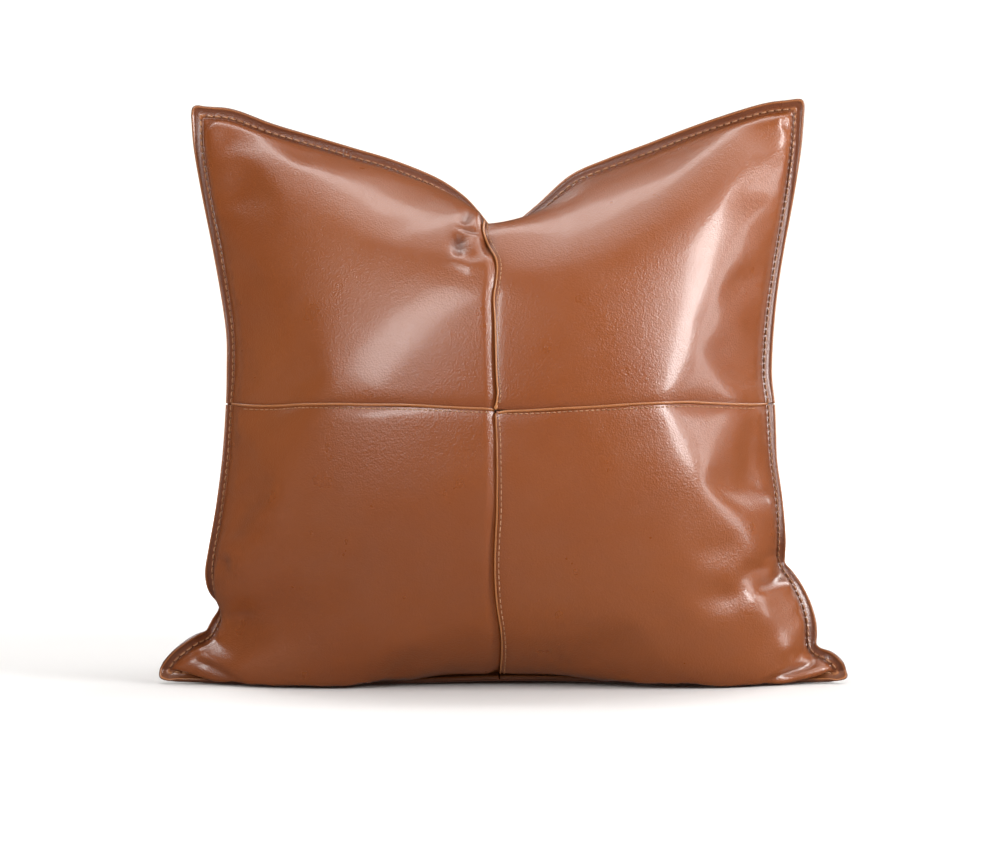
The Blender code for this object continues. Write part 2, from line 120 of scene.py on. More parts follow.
RIGHT = [
    (214, -16, 7, 221.5, -17, 8.5),
    (212, -17, 11, 219.5, -18, 14),
    (207.5, -15, 14, 213, -16, 20),
    (202.5, -11, 16, 206.5, -10, 21.5),
    (198.5, -7, 19.5, 204, -5, 24),
    (196.5, -5, 26, 204.5, -3, 28),
    (196, -4, 36, 204, -1, 38),
    (193.5, -3, 47.5, 200.5, 1, 50),
    (189, -1, 58, 195, 3, 61.5),
    (184.5, 2, 66, 189, 7, 70),
    (180, 5, 72.5, 184.5, 11, 75),
    (178, 4, 80, 184.5, 9, 81),
    (178, 1, 90, 184.5, 5, 90.5),
    (177.5, 0, 104, 183.5, 5, 104),
    (176, 0, 121.5, 181.5, 6, 121),
    (173, 0, 142, 178.5, 6, 142),
    (172, 2, 160, 178, 7, 160),
    (171, 4, 179, 177.5, 9, 179),
    (169, 7, 198, 176, 11, 198),
    (170, 10, 221, 177, 14, 221),
    (173.5, 14, 250, 180, 18, 250.5),
    (178.5, 18, 280, 185, 22, 281),
    (184.5, 22, 313, 191.5, 25, 313.5),
    (189.5, 25, 346, 197, 26, 346.5),
    (191.5, 28, 371.5, 199.5, 28, 372.5),
]
SIDE_MIDDLE = 17
BOTTOM = [
    (-213, -16, 8, -214, -20, 1.6),
    (-184.5, -15, 6, -186, -21, 1.2),
    (-149, -14, 6.5, -149, -29.5, 0.8),
    (-98, -14, 6.5, -98, -26, 0.6),
    (-52.5, -14, 7.5, -52.5, -24.5, 1.6),
    (0, -14, 8.5, 0, -24, 3.2),
    (50, -14, 8, 50, -24, 2.6),
    (95, -14, 7, 95, -25.5, 1.0),
    (140, -14, 6.5, 140, -29.5, 0.8),
    (185, -15, 6, 186, -21, 1.2),
    (214, -16, 7, 215.5, -20, 1.6),
]
BOTTOM_MIDDLE = 5
TOP = [
    (-196.5, 28, 367, -196, 28, 375),
    (-178, 28, 365, -176.5, 28, 373),
    (-153, 28, 356, -150.5, 28, 363.5),
    (-126.5, 27, 348, -124, 28, 355.5),
    (-100, 26, 340, -97.5, 28, 347.5),
    (-73.5, 25, 332, -70, 28, 339),
    (-47, 23, 321, -42.5, 27, 327.5),
    (-30, 21, 310.5, -25, 26, 315.5),
    (-19.5, 19, 300.5, -14.5, 25, 304),
    (-11, 17, 292, -8, 24, 295.5),
    (-1, 16, 288, -1, 23, 292),
    (10.5, 17, 292, 7.5, 24, 296),
    (28.5, 20, 305, 24, 26, 310),
    (49, 23, 322.5, 45, 28, 329),
    (71.5, 25, 332.5, 68.5, 28, 340),
    (98, 26, 342.5, 95, 28, 350),
    (124, 27, 353, 122, 28, 360.5),
    (151, 28, 362.5, 149, 28, 370),
    (174, 28, 369.5, 173, 28, 377),
    (191.5, 28, 371.5, 191.5, 28, 379.5),
]
TOP_MIDDLE = 10


def smooth_step(x):
    x = np.clip(x, 0.0, 1.0)
    return x * x * (3.0 - 2.0 * x)


def bump(x, width):
    return np.exp(-((x / width) ** 2))


def unit(v):
    return v / np.maximum(np.linalg.norm(v, axis=-1, keepdims=True), 1e-12)


def spline(points, steps=20):
    """A smooth line through the points (Catmull-Rom, centripetal enough for these spacings)."""
    p = np.asarray(points, float)
    p = np.vstack([2 * p[0] - p[1], p, 2 * p[-1] - p[-2]])
    t = np.linspace(0, 1, steps, endpoint=False)[:, None]
    spans = [
        0.5 * (2 * b + (c - a) * t + (2 * a - 5 * b + 4 * c - d) * t**2 + (3 * b - a - 3 * c + d) * t**3)
        for a, b, c, d in zip(p[:-3], p[1:-2], p[2:-1], p[3:])
    ]
    return np.vstack(spans + [p[-2:-1]])


class Side:
    """One sewn side of the cover, by its place along the flat cover from -SEAM to SEAM."""

    STEPS = 20

    def __init__(self, rows, middle, facing):
        """facing is 1 or -1, whichever makes the flange's flat side face the front."""
        rows = np.array(rows, float) * MM
        line = spline(rows, self.STEPS)
        seam = line[:, :3]
        along = np.concatenate([[0], np.cumsum(np.linalg.norm(np.diff(seam, axis=0), axis=1))])
        half = along[middle * self.STEPS]
        place = np.where(along <= half, along / half - 1, (along - half) / (along[-1] - half)) * SEAM
        self.fine = np.linspace(-SEAM, SEAM, 869)
        self.seam_points = np.stack([np.interp(self.fine, place, line[:, k]) for k in range(3)], -1)
        self.outer_points = np.stack([np.interp(self.fine, place, line[:, k]) for k in range(3, 6)], -1)
        self.calm_points = self.calm(self.seam_points, 26 * MM)
        self.outward_points = self.calm(self.outer_points - self.seam_points, 2 * MM)
        tangent = np.gradient(self.seam_points, axis=0)
        self.facing_points = unit(self.calm(unit(facing * np.cross(self.outward_points, tangent)), 3 * MM))

    def calm(self, points, width):
        """The same line without its short bends. Its ends stay where they are."""
        share = np.linspace(0, 1, len(points))[:, None]
        chord = points[0] * (1 - share) + points[-1] * share
        off = points - chord
        padded = np.concatenate([-off[:0:-1], off, -off[-2::-1]])
        step = self.fine[1] - self.fine[0]
        reach = int(3 * width / step)
        weights = np.exp(-0.5 * (np.arange(-reach, reach + 1) * step / width) ** 2)
        weights /= weights.sum()
        smooth = np.stack([np.convolve(padded[:, k], weights, "same") for k in range(3)], -1)
        n = len(points)
        return chord + smooth[n - 1 : 2 * n - 1]

    def at(self, table, place):
        return np.stack([np.interp(place, self.fine, table[:, k]) for k in range(3)], -1)

    def seam(self, place):
        return self.at(self.seam_points, place)

    def outward(self, place):
        """From the seam line to the flange's outer edge."""
        return self.at(self.outward_points, place)

    def facing(self, place):
        return self.at(self.facing_points, place)

    def calmed(self, place):
        return self.at(self.calm_points, place)


SIDE_LEFT, SIDE_RIGHT = Side(LEFT, SIDE_MIDDLE, -1), Side(RIGHT, SIDE_MIDDLE, 1)
SIDE_BOTTOM, SIDE_TOP = Side(BOTTOM, BOTTOM_MIDDLE, 1), Side(TOP, TOP_MIDDLE, -1)


def middle_sheet(u, v):
    """The sheet half way between front and back, stretched between the four sewn sides."""
    s, t = u / (2 * SEAM) + 0.5, v / (2 * SEAM) + 0.5
    s1, t1 = s[..., None], t[..., None]
    low_left, low_right = SIDE_BOTTOM.calmed(-SEAM), SIDE_BOTTOM.calmed(SEAM)
    top_left, top_right = SIDE_TOP.calmed(-SEAM), SIDE_TOP.calmed(SEAM)
    top = SIDE_TOP.calmed(u)
    corners = (1 - s1) * (1 - t1) * low_left + s1 * (1 - t1) * low_right
    corners = corners + (1 - s1) * t1 * top_left + s1 * t1 * top_right
    dent = top - (1 - s1) * top_left - s1 * top_right
    sides = (1 - s1) * SIDE_LEFT.calmed(v) + s1 * SIDE_RIGHT.calmed(v)
    return (1 - t1) * SIDE_BOTTOM.calmed(u) + t1 * top + sides - corners + dent * (t1**DENT_FADE - t1)


def edge_detail(u, v):
    """What the short bends of the sewn sides add near them."""
    add = np.zeros(u.shape + (3,))
    for side, place, away in (
        (SIDE_LEFT, v, u + SEAM),
        (SIDE_RIGHT, v, SEAM - u),
        (SIDE_BOTTOM, u, v + SEAM),
        (SIDE_TOP, u, SEAM - v),
    ):
        fade = np.exp(-((np.abs(away) / (22 * MM)) ** 1.3))[..., None]
        add += (side.seam(place) - side.calmed(place)) * fade
    return add


def swell(u, v, front):
    """How much of the full depth is reached at (u, v): 1 in the middle and 0 at the sewn edge."""
    a = np.clip(np.abs(u) / SEAM, 0, 1)
    b = np.clip(np.abs(v) / SEAM, 0, 1)
    height = np.where(v < 0, 1 - b**BOTTOM_FULLNESS, 1 - b**TOP_FULLNESS)
    slim = SLIM_FOOT * bump(u, SLIM_FOOT_WIDTH) * smooth_step((-v - SLIM_FOOT_TOP) / SLIM_FOOT_RUN)
    return (1 - a**SIDE_FULLNESS) ** FULLNESS * height ** (FULLNESS + slim * front)


def stuffed(u, v, front):
    """The inner face of the cover's front or back, before the cloth settles."""
    middle = middle_sheet(u, v) + edge_detail(u, v)
    low = np.clip(v + SEAM, 0, None)
    belly = (low / SAG_HEIGHT) * np.exp(1 - low / SAG_HEIGHT)
    arch = 1.0
    if front:
        arch_shape = smooth_step((np.abs(u) - FRONT_ARCH) / FRONT_ARCH_RUN)
        arch = FRONT_ARCH_LEAST + (1 - FRONT_ARCH_LEAST) * arch_shape
    point = middle.copy()
    point[..., 1] += swell(u, v, front) * (-FRONT_DEPTH if front else BACK_DEPTH)
    point[..., 2] -= SAG * belly * arch * np.clip(1 - (np.abs(u) / SEAM) ** 5, 0, 1)
    near_top = np.clip(v / SEAM, 0, 1)
    point[..., 2] += CHOP_ROLL * bump(u, CHOP_WIDTH) * np.sin(math.pi * near_top**2.2)
    point[..., 2] = np.maximum(point[..., 2], np.minimum(LEATHER, middle[..., 2]))
    return point if front else straightened_for_zip(point, u, v)


def straightened_for_zip(point, u, v):
    """The back cover is straight and flat along the zip, and blends into its own shape around it."""
    off = v - ZIP_V
    flat = ZIP_CENTRE + off[..., None] * ZIP_UP
    flat[..., 0] = u * ZIP_REACH / ZIP_PATTERN_REACH
    beside = 1 - smooth_step((np.abs(u) - ZIP_PATTERN_REACH - ZIP_CALM) / ZIP_FADE)
    band = np.where(off > 0, BAND_ABOVE_ZIP, BAND_BELOW_ZIP)
    weight = (1 - smooth_step((np.abs(off) - ZIP_FLAT) / band)) * beside
    return point + (flat - point) * weight[..., None]


def new_object(name, points, faces, material=None, smooth=True):
    mesh = bpy.data.meshes.new(name)
    mesh.from_pydata(np.asarray(points).tolist(), [], [list(map(int, f)) for f in faces])
    if material:
        mesh.materials.append(material)
    if smooth:
        mesh.shade_smooth()
    obj = bpy.data.objects.new(name, mesh)
    bpy.context.scene.collection.objects.link(obj)
    return obj


def index_quads(index, flip=False, wrap=False):
    """Four-sided faces between neighbours in a grid of vertex numbers. wrap closes the grid sideways."""
    if wrap:
        index = np.concatenate([index, index[:, :1]], axis=1)
    a, b, c, d = index[:-1, :-1], index[:-1, 1:], index[1:, 1:], index[1:, :-1]
    return np.stack([d, c, b, a] if flip else [a, b, c, d], -1).reshape(-1, 4)


def quads(rows, columns, start=0, flip=False, wrap=False):
    return index_quads(start + np.arange(rows * columns).reshape(rows, columns), flip, wrap)


# The cloth: a grid on the flat cover for each face, sewn together along the four sides
CLOTH_LINES = 97
CLOTH_AT = np.linspace(-SEAM, SEAM, CLOTH_LINES)
CLOTH_FRAMES = 26
CLOTH_CAP = 16 * MM
HELD_BESIDE_ZIP = 13 * MM
CLOTH_SETTINGS = {
    "quality": 7,
    "mass": 0.06,
    "tension_stiffness": 30,
    "compression_stiffness": 30,
    "shear_stiffness": 12,
    "bending_stiffness": 6,
    "tension_damping": 12,
    "compression_damping": 12,
    "shear_damping": 8,
    "bending_damping": 1,
    "air_damping": 1.5,
    "use_pressure": True,
    "uniform_pressure_force": 3.0,
    "vertex_group_mass": "held",
    "pin_stiffness": 1,
    "vertex_group_shrink": "taut",
    "shrink_min": -0.09,
    "shrink_max": 0.0,
}
# Where the cloth is slackest: u, v and radius in metres, then how slack
SLACK_SPOTS = [(-0.20, -0.13, 0.045, 0.55), (0.20, -0.12, 0.05, 0.8), (-0.02, 0.20, 0.03, 0.6)]


def slack(u, v):
    """How much longer the cloth is than the stuffed shape, as a share: most near the crumpled corners."""
    near_side = np.exp(-(SEAM - np.abs(u)) / (40 * MM)) * np.clip(0.6 - v / (2 * SEAM), 0, 1)
    more = sum(w * bump(np.hypot(u - x, v - y), r) for x, y, r, w in SLACK_SPOTS)
    return np.clip(0.12 + 0.3 * near_side + more, 0, 1)


def sewn_edge(u, v):
    """True where the front and the back of the cloth are one."""
    return (np.abs(u) > SEAM - 1e-6) | (np.abs(v) > SEAM - 1e-6)


def settled_cloth():
    """Both faces of the cover as grids of points, after the cloth has settled under pressure."""
    u, v = np.meshgrid(CLOTH_AT, CLOTH_AT)
    front, back = stuffed(u, v, True), stuffed(u, v, False)
    edge = sewn_edge(u, v)
    inside = ~edge
    back[edge] = front[edge]
    front_index = np.arange(u.size).reshape(u.shape)
    back_index = front_index.copy()
    back_index[inside] = u.size + np.arange(inside.sum())
    points = np.vstack([front.reshape(-1, 3), back[inside]])
    faces = np.vstack([index_quads(front_index), index_quads(back_index, flip=True)])
    obj = new_object("cloth", points, faces, smooth=False)
    beside_zip = (np.abs(v - ZIP_V) < HELD_BESIDE_ZIP) & (np.abs(u) < ZIP_PATTERN_REACH + ZIP_CALM) & inside
    held = obj.vertex_groups.new(name="held")
    fixed = np.unique(np.concatenate([front_index[edge], back_index[beside_zip]]))
    held.add(fixed.tolist(), 1.0, "REPLACE")
    taut = obj.vertex_groups.new(name="taut")
    amount = 1 - slack(u, v)
    for index, share in ((front_index.ravel(), amount.ravel()), (back_index[inside], amount[inside])):
        for vertex, weight in zip(index, share):
            taut.add([int(vertex)], float(weight), "REPLACE")
    moved = simulated(obj) - points
    bpy.data.objects.remove(obj)
    far = np.linalg.norm(moved, axis=1, keepdims=True)
    points = points + moved * np.minimum(1, CLOTH_CAP / np.maximum(far, 1e-9) * np.tanh(far / CLOTH_CAP))
    return points[front_index], points[back_index]


def simulated(obj):
    """Where the cloth's points are at the last frame, with the floor under it."""
    corners = [(-1, -1, 0), (1, -1, 0), (1, 1, 0), (-1, 1, 0)]
    floor = new_object("cloth_floor", corners, [(0, 1, 2, 3)], smooth=False)
    floor.modifiers.new("collision", "COLLISION")
    floor.collision.thickness_outer = 0.001
    floor.collision.cloth_friction = 20
    cloth = obj.modifiers.new("cloth", "CLOTH")
    for key, value in CLOTH_SETTINGS.items():
        setattr(cloth.settings, key, value)
    cloth.settings.effector_weights.gravity = 0
    cloth.collision_settings.distance_min = 0.0015
    cloth.collision_settings.use_self_collision = False
    cloth.point_cache.frame_start, cloth.point_cache.frame_end = 1, CLOTH_FRAMES
    for step in range(1, CLOTH_FRAMES + 1):
        bpy.context.scene.frame_set(step)
    final = obj.evaluated_get(bpy.context.evaluated_depsgraph_get()).data
    places = np.empty(len(final.vertices) * 3)
    final.vertices.foreach_get("co", places)
    bpy.context.scene.frame_set(1)
    bpy.data.objects.remove(floor)
    return places.reshape(-1, 3)


class Face:
    """A smooth surface through one face of the settled cloth, by (u, v)."""

    def __init__(self, grid, front):
        self.front = front
        self.sign = 1.0 if front else -1.0
        g = np.pad(grid, ((1, 1), (1, 1), (0, 0)), mode="edge")
        g[0], g[-1] = 2 * g[1] - g[2], 2 * g[-2] - g[-3]
        g[:, 0], g[:, -1] = 2 * g[:, 1] - g[:, 2], 2 * g[:, -2] - g[:, -3]
        self.grid = g
        self.step = CLOTH_AT[1] - CLOTH_AT[0]

    def weights(self, at):
        x = (np.clip(at, -SEAM, SEAM) + SEAM) / self.step
        low = np.clip(np.floor(x).astype(int), 0, CLOTH_LINES - 2)
        t = x - low
        w = [-t + 2 * t**2 - t**3, 2 - 5 * t**2 + 3 * t**3, t + 4 * t**2 - 3 * t**3, t**3 - t**2]
        return low, [0.5 * k for k in w]

    def at(self, u, v):
        u, v = np.broadcast_arrays(u, v)
        i, wu = self.weights(u)
        j, wv = self.weights(v)
        return sum(
            self.grid[j + b, i + a] * (wu[a] * wv[b])[..., None] for a in range(4) for b in range(4)
        )

    def normal(self, u, v):
        step = 1.2 * MM
        low_u, high_u = np.clip(u - step, -SEAM, SEAM), np.clip(u + step, -SEAM, SEAM)
        low_v, high_v = np.clip(v - step, -SEAM, SEAM), np.clip(v + step, -SEAM, SEAM)
        across = self.at(high_u, v) - self.at(low_u, v)
        up = self.at(u, high_v) - self.at(u, low_v)
        return unit(self.sign * np.cross(across, up))


# Height of the flange's outer face over its middle, by distance out from the seam line
FLANGE_AT = np.array([0, 0.5, 1.0, 1.6, 2.2, 2.8, 3.6, 4.6, 5.6, 6.2, 6.6, 7.0, 7.4, 7.7, 7.9, 8.0]) * MM
FLANGE_HEIGHT = np.array([
    1.2, 1.0, 1.1, 1.35, 1.2, 0.95, 0.9, 0.9, 1.0, 1.25, 1.6, 1.8, 1.75, 1.4, 0.9, 0.35,
]) * MM
FLANGE_GAP = 0.12 * MM
ABOVE_FLOOR = 0.1 * MM
EDGE_STITCH_AT = 1.6 * MM
EDGE_PITCH = 5 * MM
SEAM_PITCH = 4.1 * MM
SEAM_STITCH_AT = 2.6 * MM
EDGE_BLEND = 5 * MM
SEAM_DRAWS_UPRIGHT = 70 * MM
SEAM_DRAWS_LEVEL = 90 * MM


# Where the upright seam runs: (v, how far it lies to the left of u = 0), in millimetres
UPRIGHT_DRIFT = np.array([
    (-217, 1.5), (-140, 4.6), (-75, 1.2), (-20, 2.4), (2, 3.8), (11, 1.8), (26, 3.1), (68, 4.5), (95, 5.5),
    (102, 4.0), (118, 2.6), (127, 3.4), (138, 8.1), (152, 13.0), (164, 14.3), (180, 13.0), (217, 11.0),
]) * MM
# Where the level seam runs: (u, how far it lies above v = 0), in millimetres
LEVEL_DRIFT = np.array([
    (-217, 0), (-161, 4), (-77, 8), (-37, 10), (-5, 11.5),
    (6, 10.5), (21, 10), (88, 6.5), (152, 5), (217, 0),
]) * MM


def wander(table, place, blur=5 * MM):
    """A table's value at a place, with its corners rounded."""
    return sum(np.interp(place + k * blur, table[:, 0], table[:, 1]) for k in (-1, -0.5, 0, 0.5, 1)) / 5


def stroke(x, z, line, width, height):
    """One fold drawn on the front: a line of (x, z) in millimetres. It fades at its ends."""
    line = np.array(line, float) * MM
    if len(line) == 1:
        return height * MM * bump(np.hypot(x - line[0, 0], z - line[0, 1]), width * MM)
    lengths = np.linalg.norm(np.diff(line, axis=0), axis=1)
    before = np.concatenate([[0], np.cumsum(lengths)])
    nearest = np.full(x.shape, 9.0)
    share = np.zeros(x.shape)
    for k, length in enumerate(lengths):
        way = (line[k + 1] - line[k]) / length
        t = np.clip((x - line[k, 0]) * way[0] + (z - line[k, 1]) * way[1], 0, length)
        away = np.hypot(x - line[k, 0] - t * way[0], z - line[k, 1] - t * way[1])
        closer = away < nearest
        share = np.where(closer, (before[k] + t) / before[-1], share)
        nearest = np.minimum(nearest, away)
    ends = smooth_step(share / 0.45 + 0.08) * smooth_step((1 - share) / 0.45 + 0.08)
    return height * MM * bump(nearest, width * MM) * ends


# Folds of the front cover: a line of (x, z), its half width and its height, in millimetres
FOLDS = [
    # The pinched pleats under the chop
    ([(-35, 281), (-30, 269), (-20, 265), (-11.5, 267), (-4, 274)], 3.8, 1.3),
    ([(-26.5, 288), (-28, 279), (-27, 270)], 4.4, -2.6),
    ([(-19, 285), (-18.5, 277), (-19, 270)], 3.4, 0.7),
    ([(-12, 286), (-10, 279), (-9.5, 271)], 3.6, -2.0),
    ([(-30, 291), (-20, 288), (-11, 286)], 1.7, -1.3),
    ([(-20, 303), (-23, 296), (-26, 291)], 3.4, -1.7),
    # The left corner's ear
    ([(-205, 19), (-184, 11), (-160, -1)], 4.4, -3.6),
    ([(-196, 4), (-176, -2)], 1.6, 0.8),
    ([(-176, 42), (-181, 30), (-190, 24), (-203, 18)], 2.8, 2.0),
    ([(-177, 78)], 5.5, -2.4),
    ([(-167, 76)], 8.0, 1.8),
    ([(-163, 47)], 8.0, -2.0),
    ([(-176, 94), (-160, 100), (-142, 106)], 6.0, -1.2),
    # The right side's kink and the right ear
    ([(192, 76), (174, 67), (152, 62)], 4.6, -3.0),
    ([(192, 84), (172, 77), (150, 84)], 5.0, 1.6),
    ([(156, 57)], 12.0, 1.8),
    ([(165, 44)], 8.0, 0.9),
    ([(180, 24)], 7.0, 1.2),
    ([(212, 15), (178, 7), (160, 1)], 2.4, -3.2),
    ([(212, 10), (182, 4)], 2.0, 1.5),
    ([(212, 6), (186, 2)], 1.6, -1.8),
    # The two top corners
    ([(-199, 357), (-190, 366), (-184, 372)], 2.2, -1.8),
    ([(-201, 364), (-192, 371)], 1.8, 1.0),
    ([(176, 362), (184, 366), (191, 366)], 2.4, 1.6),
    ([(187, 356), (185, 370)], 1.8, -1.6),
    # Soft pleats that run in from the sides
    ([(-184, 118), (-170, 126), (-156, 134)], 5.0, 1.0),
    ([(-187, 148), (-175, 154), (-162, 160)], 4.5, -1.0),
    ([(180, 114), (168, 122), (154, 132)], 5.0, -1.0),
    ([(184, 148), (172, 154), (160, 161)], 5.0, 0.9),
]


def pleats(x, z):
    return sum(stroke(x, z, line, width, rise) for line, width, rise in FOLDS)


# The valley that the upright seam lies in, as (left of it, right of it): its depth, its width, and what both
# gain near the dent in the top
VALLEY_DEPTH, VALLEY_DEEPER = (3.1 * MM, 0.9 * MM), (3.5 * MM, 4.6 * MM)
VALLEY_WIDTH, VALLEY_WIDER = (5.8 * MM, 3.4 * MM), (-1.5 * MM, 9 * MM)


def folds(u, v, x, z):
    """Raised and sunken folds of the front, as a distance outward along its normal."""
    at_top = smooth_step((v - 125 * MM) / (60 * MM))
    left, right = (width + wider * at_top for width, wider in zip(VALLEY_WIDTH, VALLEY_WIDER))
    depth = np.where(u < 0, *VALLEY_DEPTH) + np.where(u < 0, *VALLEY_DEEPER) * at_top
    left_ramp = np.clip(1 + u / (left * 1.55), 0, 1) ** 1.3
    height = -depth * np.where(u < 0, left_ramp, np.exp(-np.abs(u / right) ** 1.3))
    swollen = bump(u - 45 * MM, 30 * MM) * smooth_step((v - 160 * MM) / (45 * MM))
    level_valley = np.exp(-np.abs(v / (5 * MM)) ** 1.4)
    height = height + 1.2 * MM * swollen
    height = height - 1.3 * MM * level_valley
    height = height + pleats(x, z)
    away = SEAM - np.abs(u)
    strength = 0.25 + 0.9 * bump(v + 150 * MM, 45 * MM) * (u > 0)
    ripple = np.sin(v / (1.9 * MM) + 2 * np.sin(v / (17 * MM))) * strength
    height = height + ripple * MM * np.exp(-away / (5 * MM)) * smooth_step(away / (3 * MM))
    return height * smooth_step((SEAM - np.maximum(np.abs(u), np.abs(v))) / EDGE_BLEND)


def near_holes(along, s, share, width):
    """1 at each stitch hole of the flange and 0 away from it. s is the distance out from the seam line."""
    return bump((along / EDGE_PITCH - 0.5) % 1.0 - 0.5, share) * bump(s - EDGE_STITCH_AT, width)


def skin(u, v, face):
    """The outer face of the cover, flange included, and its outward direction."""
    u, v = (np.array(w, float) for w in np.broadcast_arrays(u, v))
    us, vs = np.clip(u, -SEAM, SEAM), np.clip(v, -SEAM, SEAM)
    over_u, over_v = np.abs(u) - np.abs(us), np.abs(v) - np.abs(vs)
    right, above = (us > 0)[..., None], (vs > 0)[..., None]
    ui, vi = us, vs
    if face.front:
        ui = us - wander(UPRIGHT_DRIFT, vs) * bump(us, SEAM_DRAWS_UPRIGHT)
        vi = vs + wander(LEVEL_DRIFT, us) * bump(vs, SEAM_DRAWS_LEVEL)
    out_u = np.where(right, SIDE_RIGHT.outward(vi), SIDE_LEFT.outward(vi))
    out_v = np.where(above, SIDE_TOP.outward(ui), SIDE_BOTTOM.outward(ui))
    flat_u = np.where(right, SIDE_RIGHT.facing(vi), SIDE_LEFT.facing(vi)) * face.sign
    flat_v = np.where(above, SIDE_TOP.facing(ui), SIDE_BOTTOM.facing(ui)) * face.sign
    near_u, near_v = (smooth_step(1 - (SEAM - np.abs(w)) / EDGE_BLEND)[..., None] for w in (us, vs))
    flat = unit(flat_u * (near_u + 1e-6) + flat_v * (near_v + 1e-6))
    edge = np.maximum(near_u, near_v)
    normal = unit(face.normal(ui, vi) * (1 - edge) + flat * edge)
    s = np.maximum(over_u, over_v)
    diagonal = (over_u**4 + over_v**4) ** 0.25
    round_corner = np.where(s > 0, s / np.maximum(diagonal, 1e-9), 1.0)[..., None]
    point = face.at(ui, vi)
    inside = s <= 0
    height = np.interp(s, FLANGE_AT, FLANGE_HEIGHT)
    if face.front:
        height = height + np.where(inside, folds(us, vs, point[..., 0], point[..., 2]), 0)
    point = point + out_u * (over_u / FLANGE)[..., None] * round_corner
    point = point + out_v * (over_v / FLANGE)[..., None] * round_corner
    dimple = near_holes(np.where(over_u > over_v, vs, us), s, 0.16, 0.8 * MM)
    height = height - np.where(inside, 0.0, 0.55 * MM * dimple)
    crease = np.minimum(SEAM - np.abs(us), SEAM - np.abs(vs))
    sunk = np.where(inside, np.exp(-crease / (1.5 * MM)), np.exp(-s / (0.5 * MM)))
    height = height - 0.4 * MM * sunk
    point = point + normal * height[..., None]
    point[..., 2] = np.maximum(point[..., 2], ABOVE_FLOOR)
    return point, normal


def wear_and_painted_light(u, v, face, x, z):
    """Colour marks that the leather's material reads at each vertex: the first is paler, partly wear and
    partly painted highlight, and the second is darker, painted shade with a dark outer edge.
    """
    s = np.maximum(np.abs(u), np.abs(v)) - SEAM
    # Paler along the flange's rolled edge, partly wear and partly a painted highlight, and a painted
    # highlight along the stitch line.
    wear = 0.45 * bump(s - 6.9 * MM, 0.45 * MM) + 0.35 * bump(s - EDGE_STITCH_AT, 0.7 * MM)
    # Painted shade over the flange's band between the stitch line and the rolled edge, and darker still at
    # the outermost edge.
    dirt = 0.7 * smooth_step((s - 2.2 * MM) / (1 * MM)) * smooth_step((6.6 * MM - s) / (0.6 * MM))
    dirt = np.maximum(dirt, 0.8 * smooth_step((s - 7.2 * MM) / (0.3 * MM)))
    # Painted shade in the stitch holes and along the sewn crease.
    hole = near_holes(np.where(np.abs(u) > np.abs(v), v, u), s, 0.13, 0.6 * MM)
    crease = 0.5 * bump(s, 0.9 * MM)
    if face.front:
        # The front's bottom flange is painted paler: painted light on a strip that lies in shade.
        wear = wear + 0.25 * (v < -SEAM)
        # Painted shade in the sunken pleats of the front, strongest near the chop.
        near_chop = bump(np.hypot(x + 20 * MM, z - 283 * MM), 30 * MM)
        sunk = np.clip(-pleats(x, z) / (3.0 * MM), 0, 1)
        crease = crease + np.where(s < 0, (0.3 + 0.7 * near_chop) * sunk, 0)
    return np.clip(wear, 0, 1), np.clip(np.maximum(dirt, crease) + 2 * hole, 0, 1)


def mark(obj, **values):
    """Stores one number per vertex under each name."""
    for name, value in values.items():
        layer = obj.data.attributes.new(name, "FLOAT", "POINT")
        layer.data.foreach_set("value", np.asarray(value, np.float32).ravel())


def shell(name, outer, inner, material, flip=False):
    """A thin closed sheet between two grids of points of the same size."""
    m, n = outer.shape[:2]
    index = np.arange(m * n).reshape(m, n)
    ring = np.concatenate([index[0], index[1:, -1], index[-1, -2::-1], index[-2:0:-1, 0]])
    after = np.roll(ring, -1)
    rim = np.stack([after, ring, ring + m * n, after + m * n], -1)
    if flip:
        rim = rim[:, ::-1]
    faces = np.vstack([quads(m, n, flip=flip), quads(m, n, m * n, flip=not flip), rim])
    return new_object(name, np.vstack([outer.reshape(-1, 3), inner.reshape(-1, 3)]), faces, material)


def bundle(name, paths, ups, widths, heights, material, sides=8):
    """One mesh of short rods. paths and ups are (rods, rings, 3); widths and heights are (rods, rings)."""
    rods, rings = paths.shape[:2]
    tangent = unit(np.gradient(paths, axis=1))
    across = unit(np.cross(tangent, ups))
    up = unit(np.cross(across, tangent))
    angle = np.arange(sides) / sides * 2 * math.pi
    ring = (
        across[:, :, None] * (np.cos(angle)[:, None] * widths[:, :, None, None])
        + up[:, :, None] * (np.sin(angle)[:, None] * heights[:, :, None, None])
        + paths[:, :, None]
    )
    faces = []
    for start in np.arange(rods) * rings * sides:
        faces += quads(rings, sides, start, wrap=True).tolist()
    for start in np.arange(rods) * rings * sides:
        last = start + (rings - 1) * sides
        faces += [list(range(start, start + sides))[::-1], list(range(last, last + sides))]
    return new_object(name, ring.reshape(-1, 3), faces, material)


def fill_sockets(node, values):
    for key, value in values.items():
        node.inputs[key].default_value = value


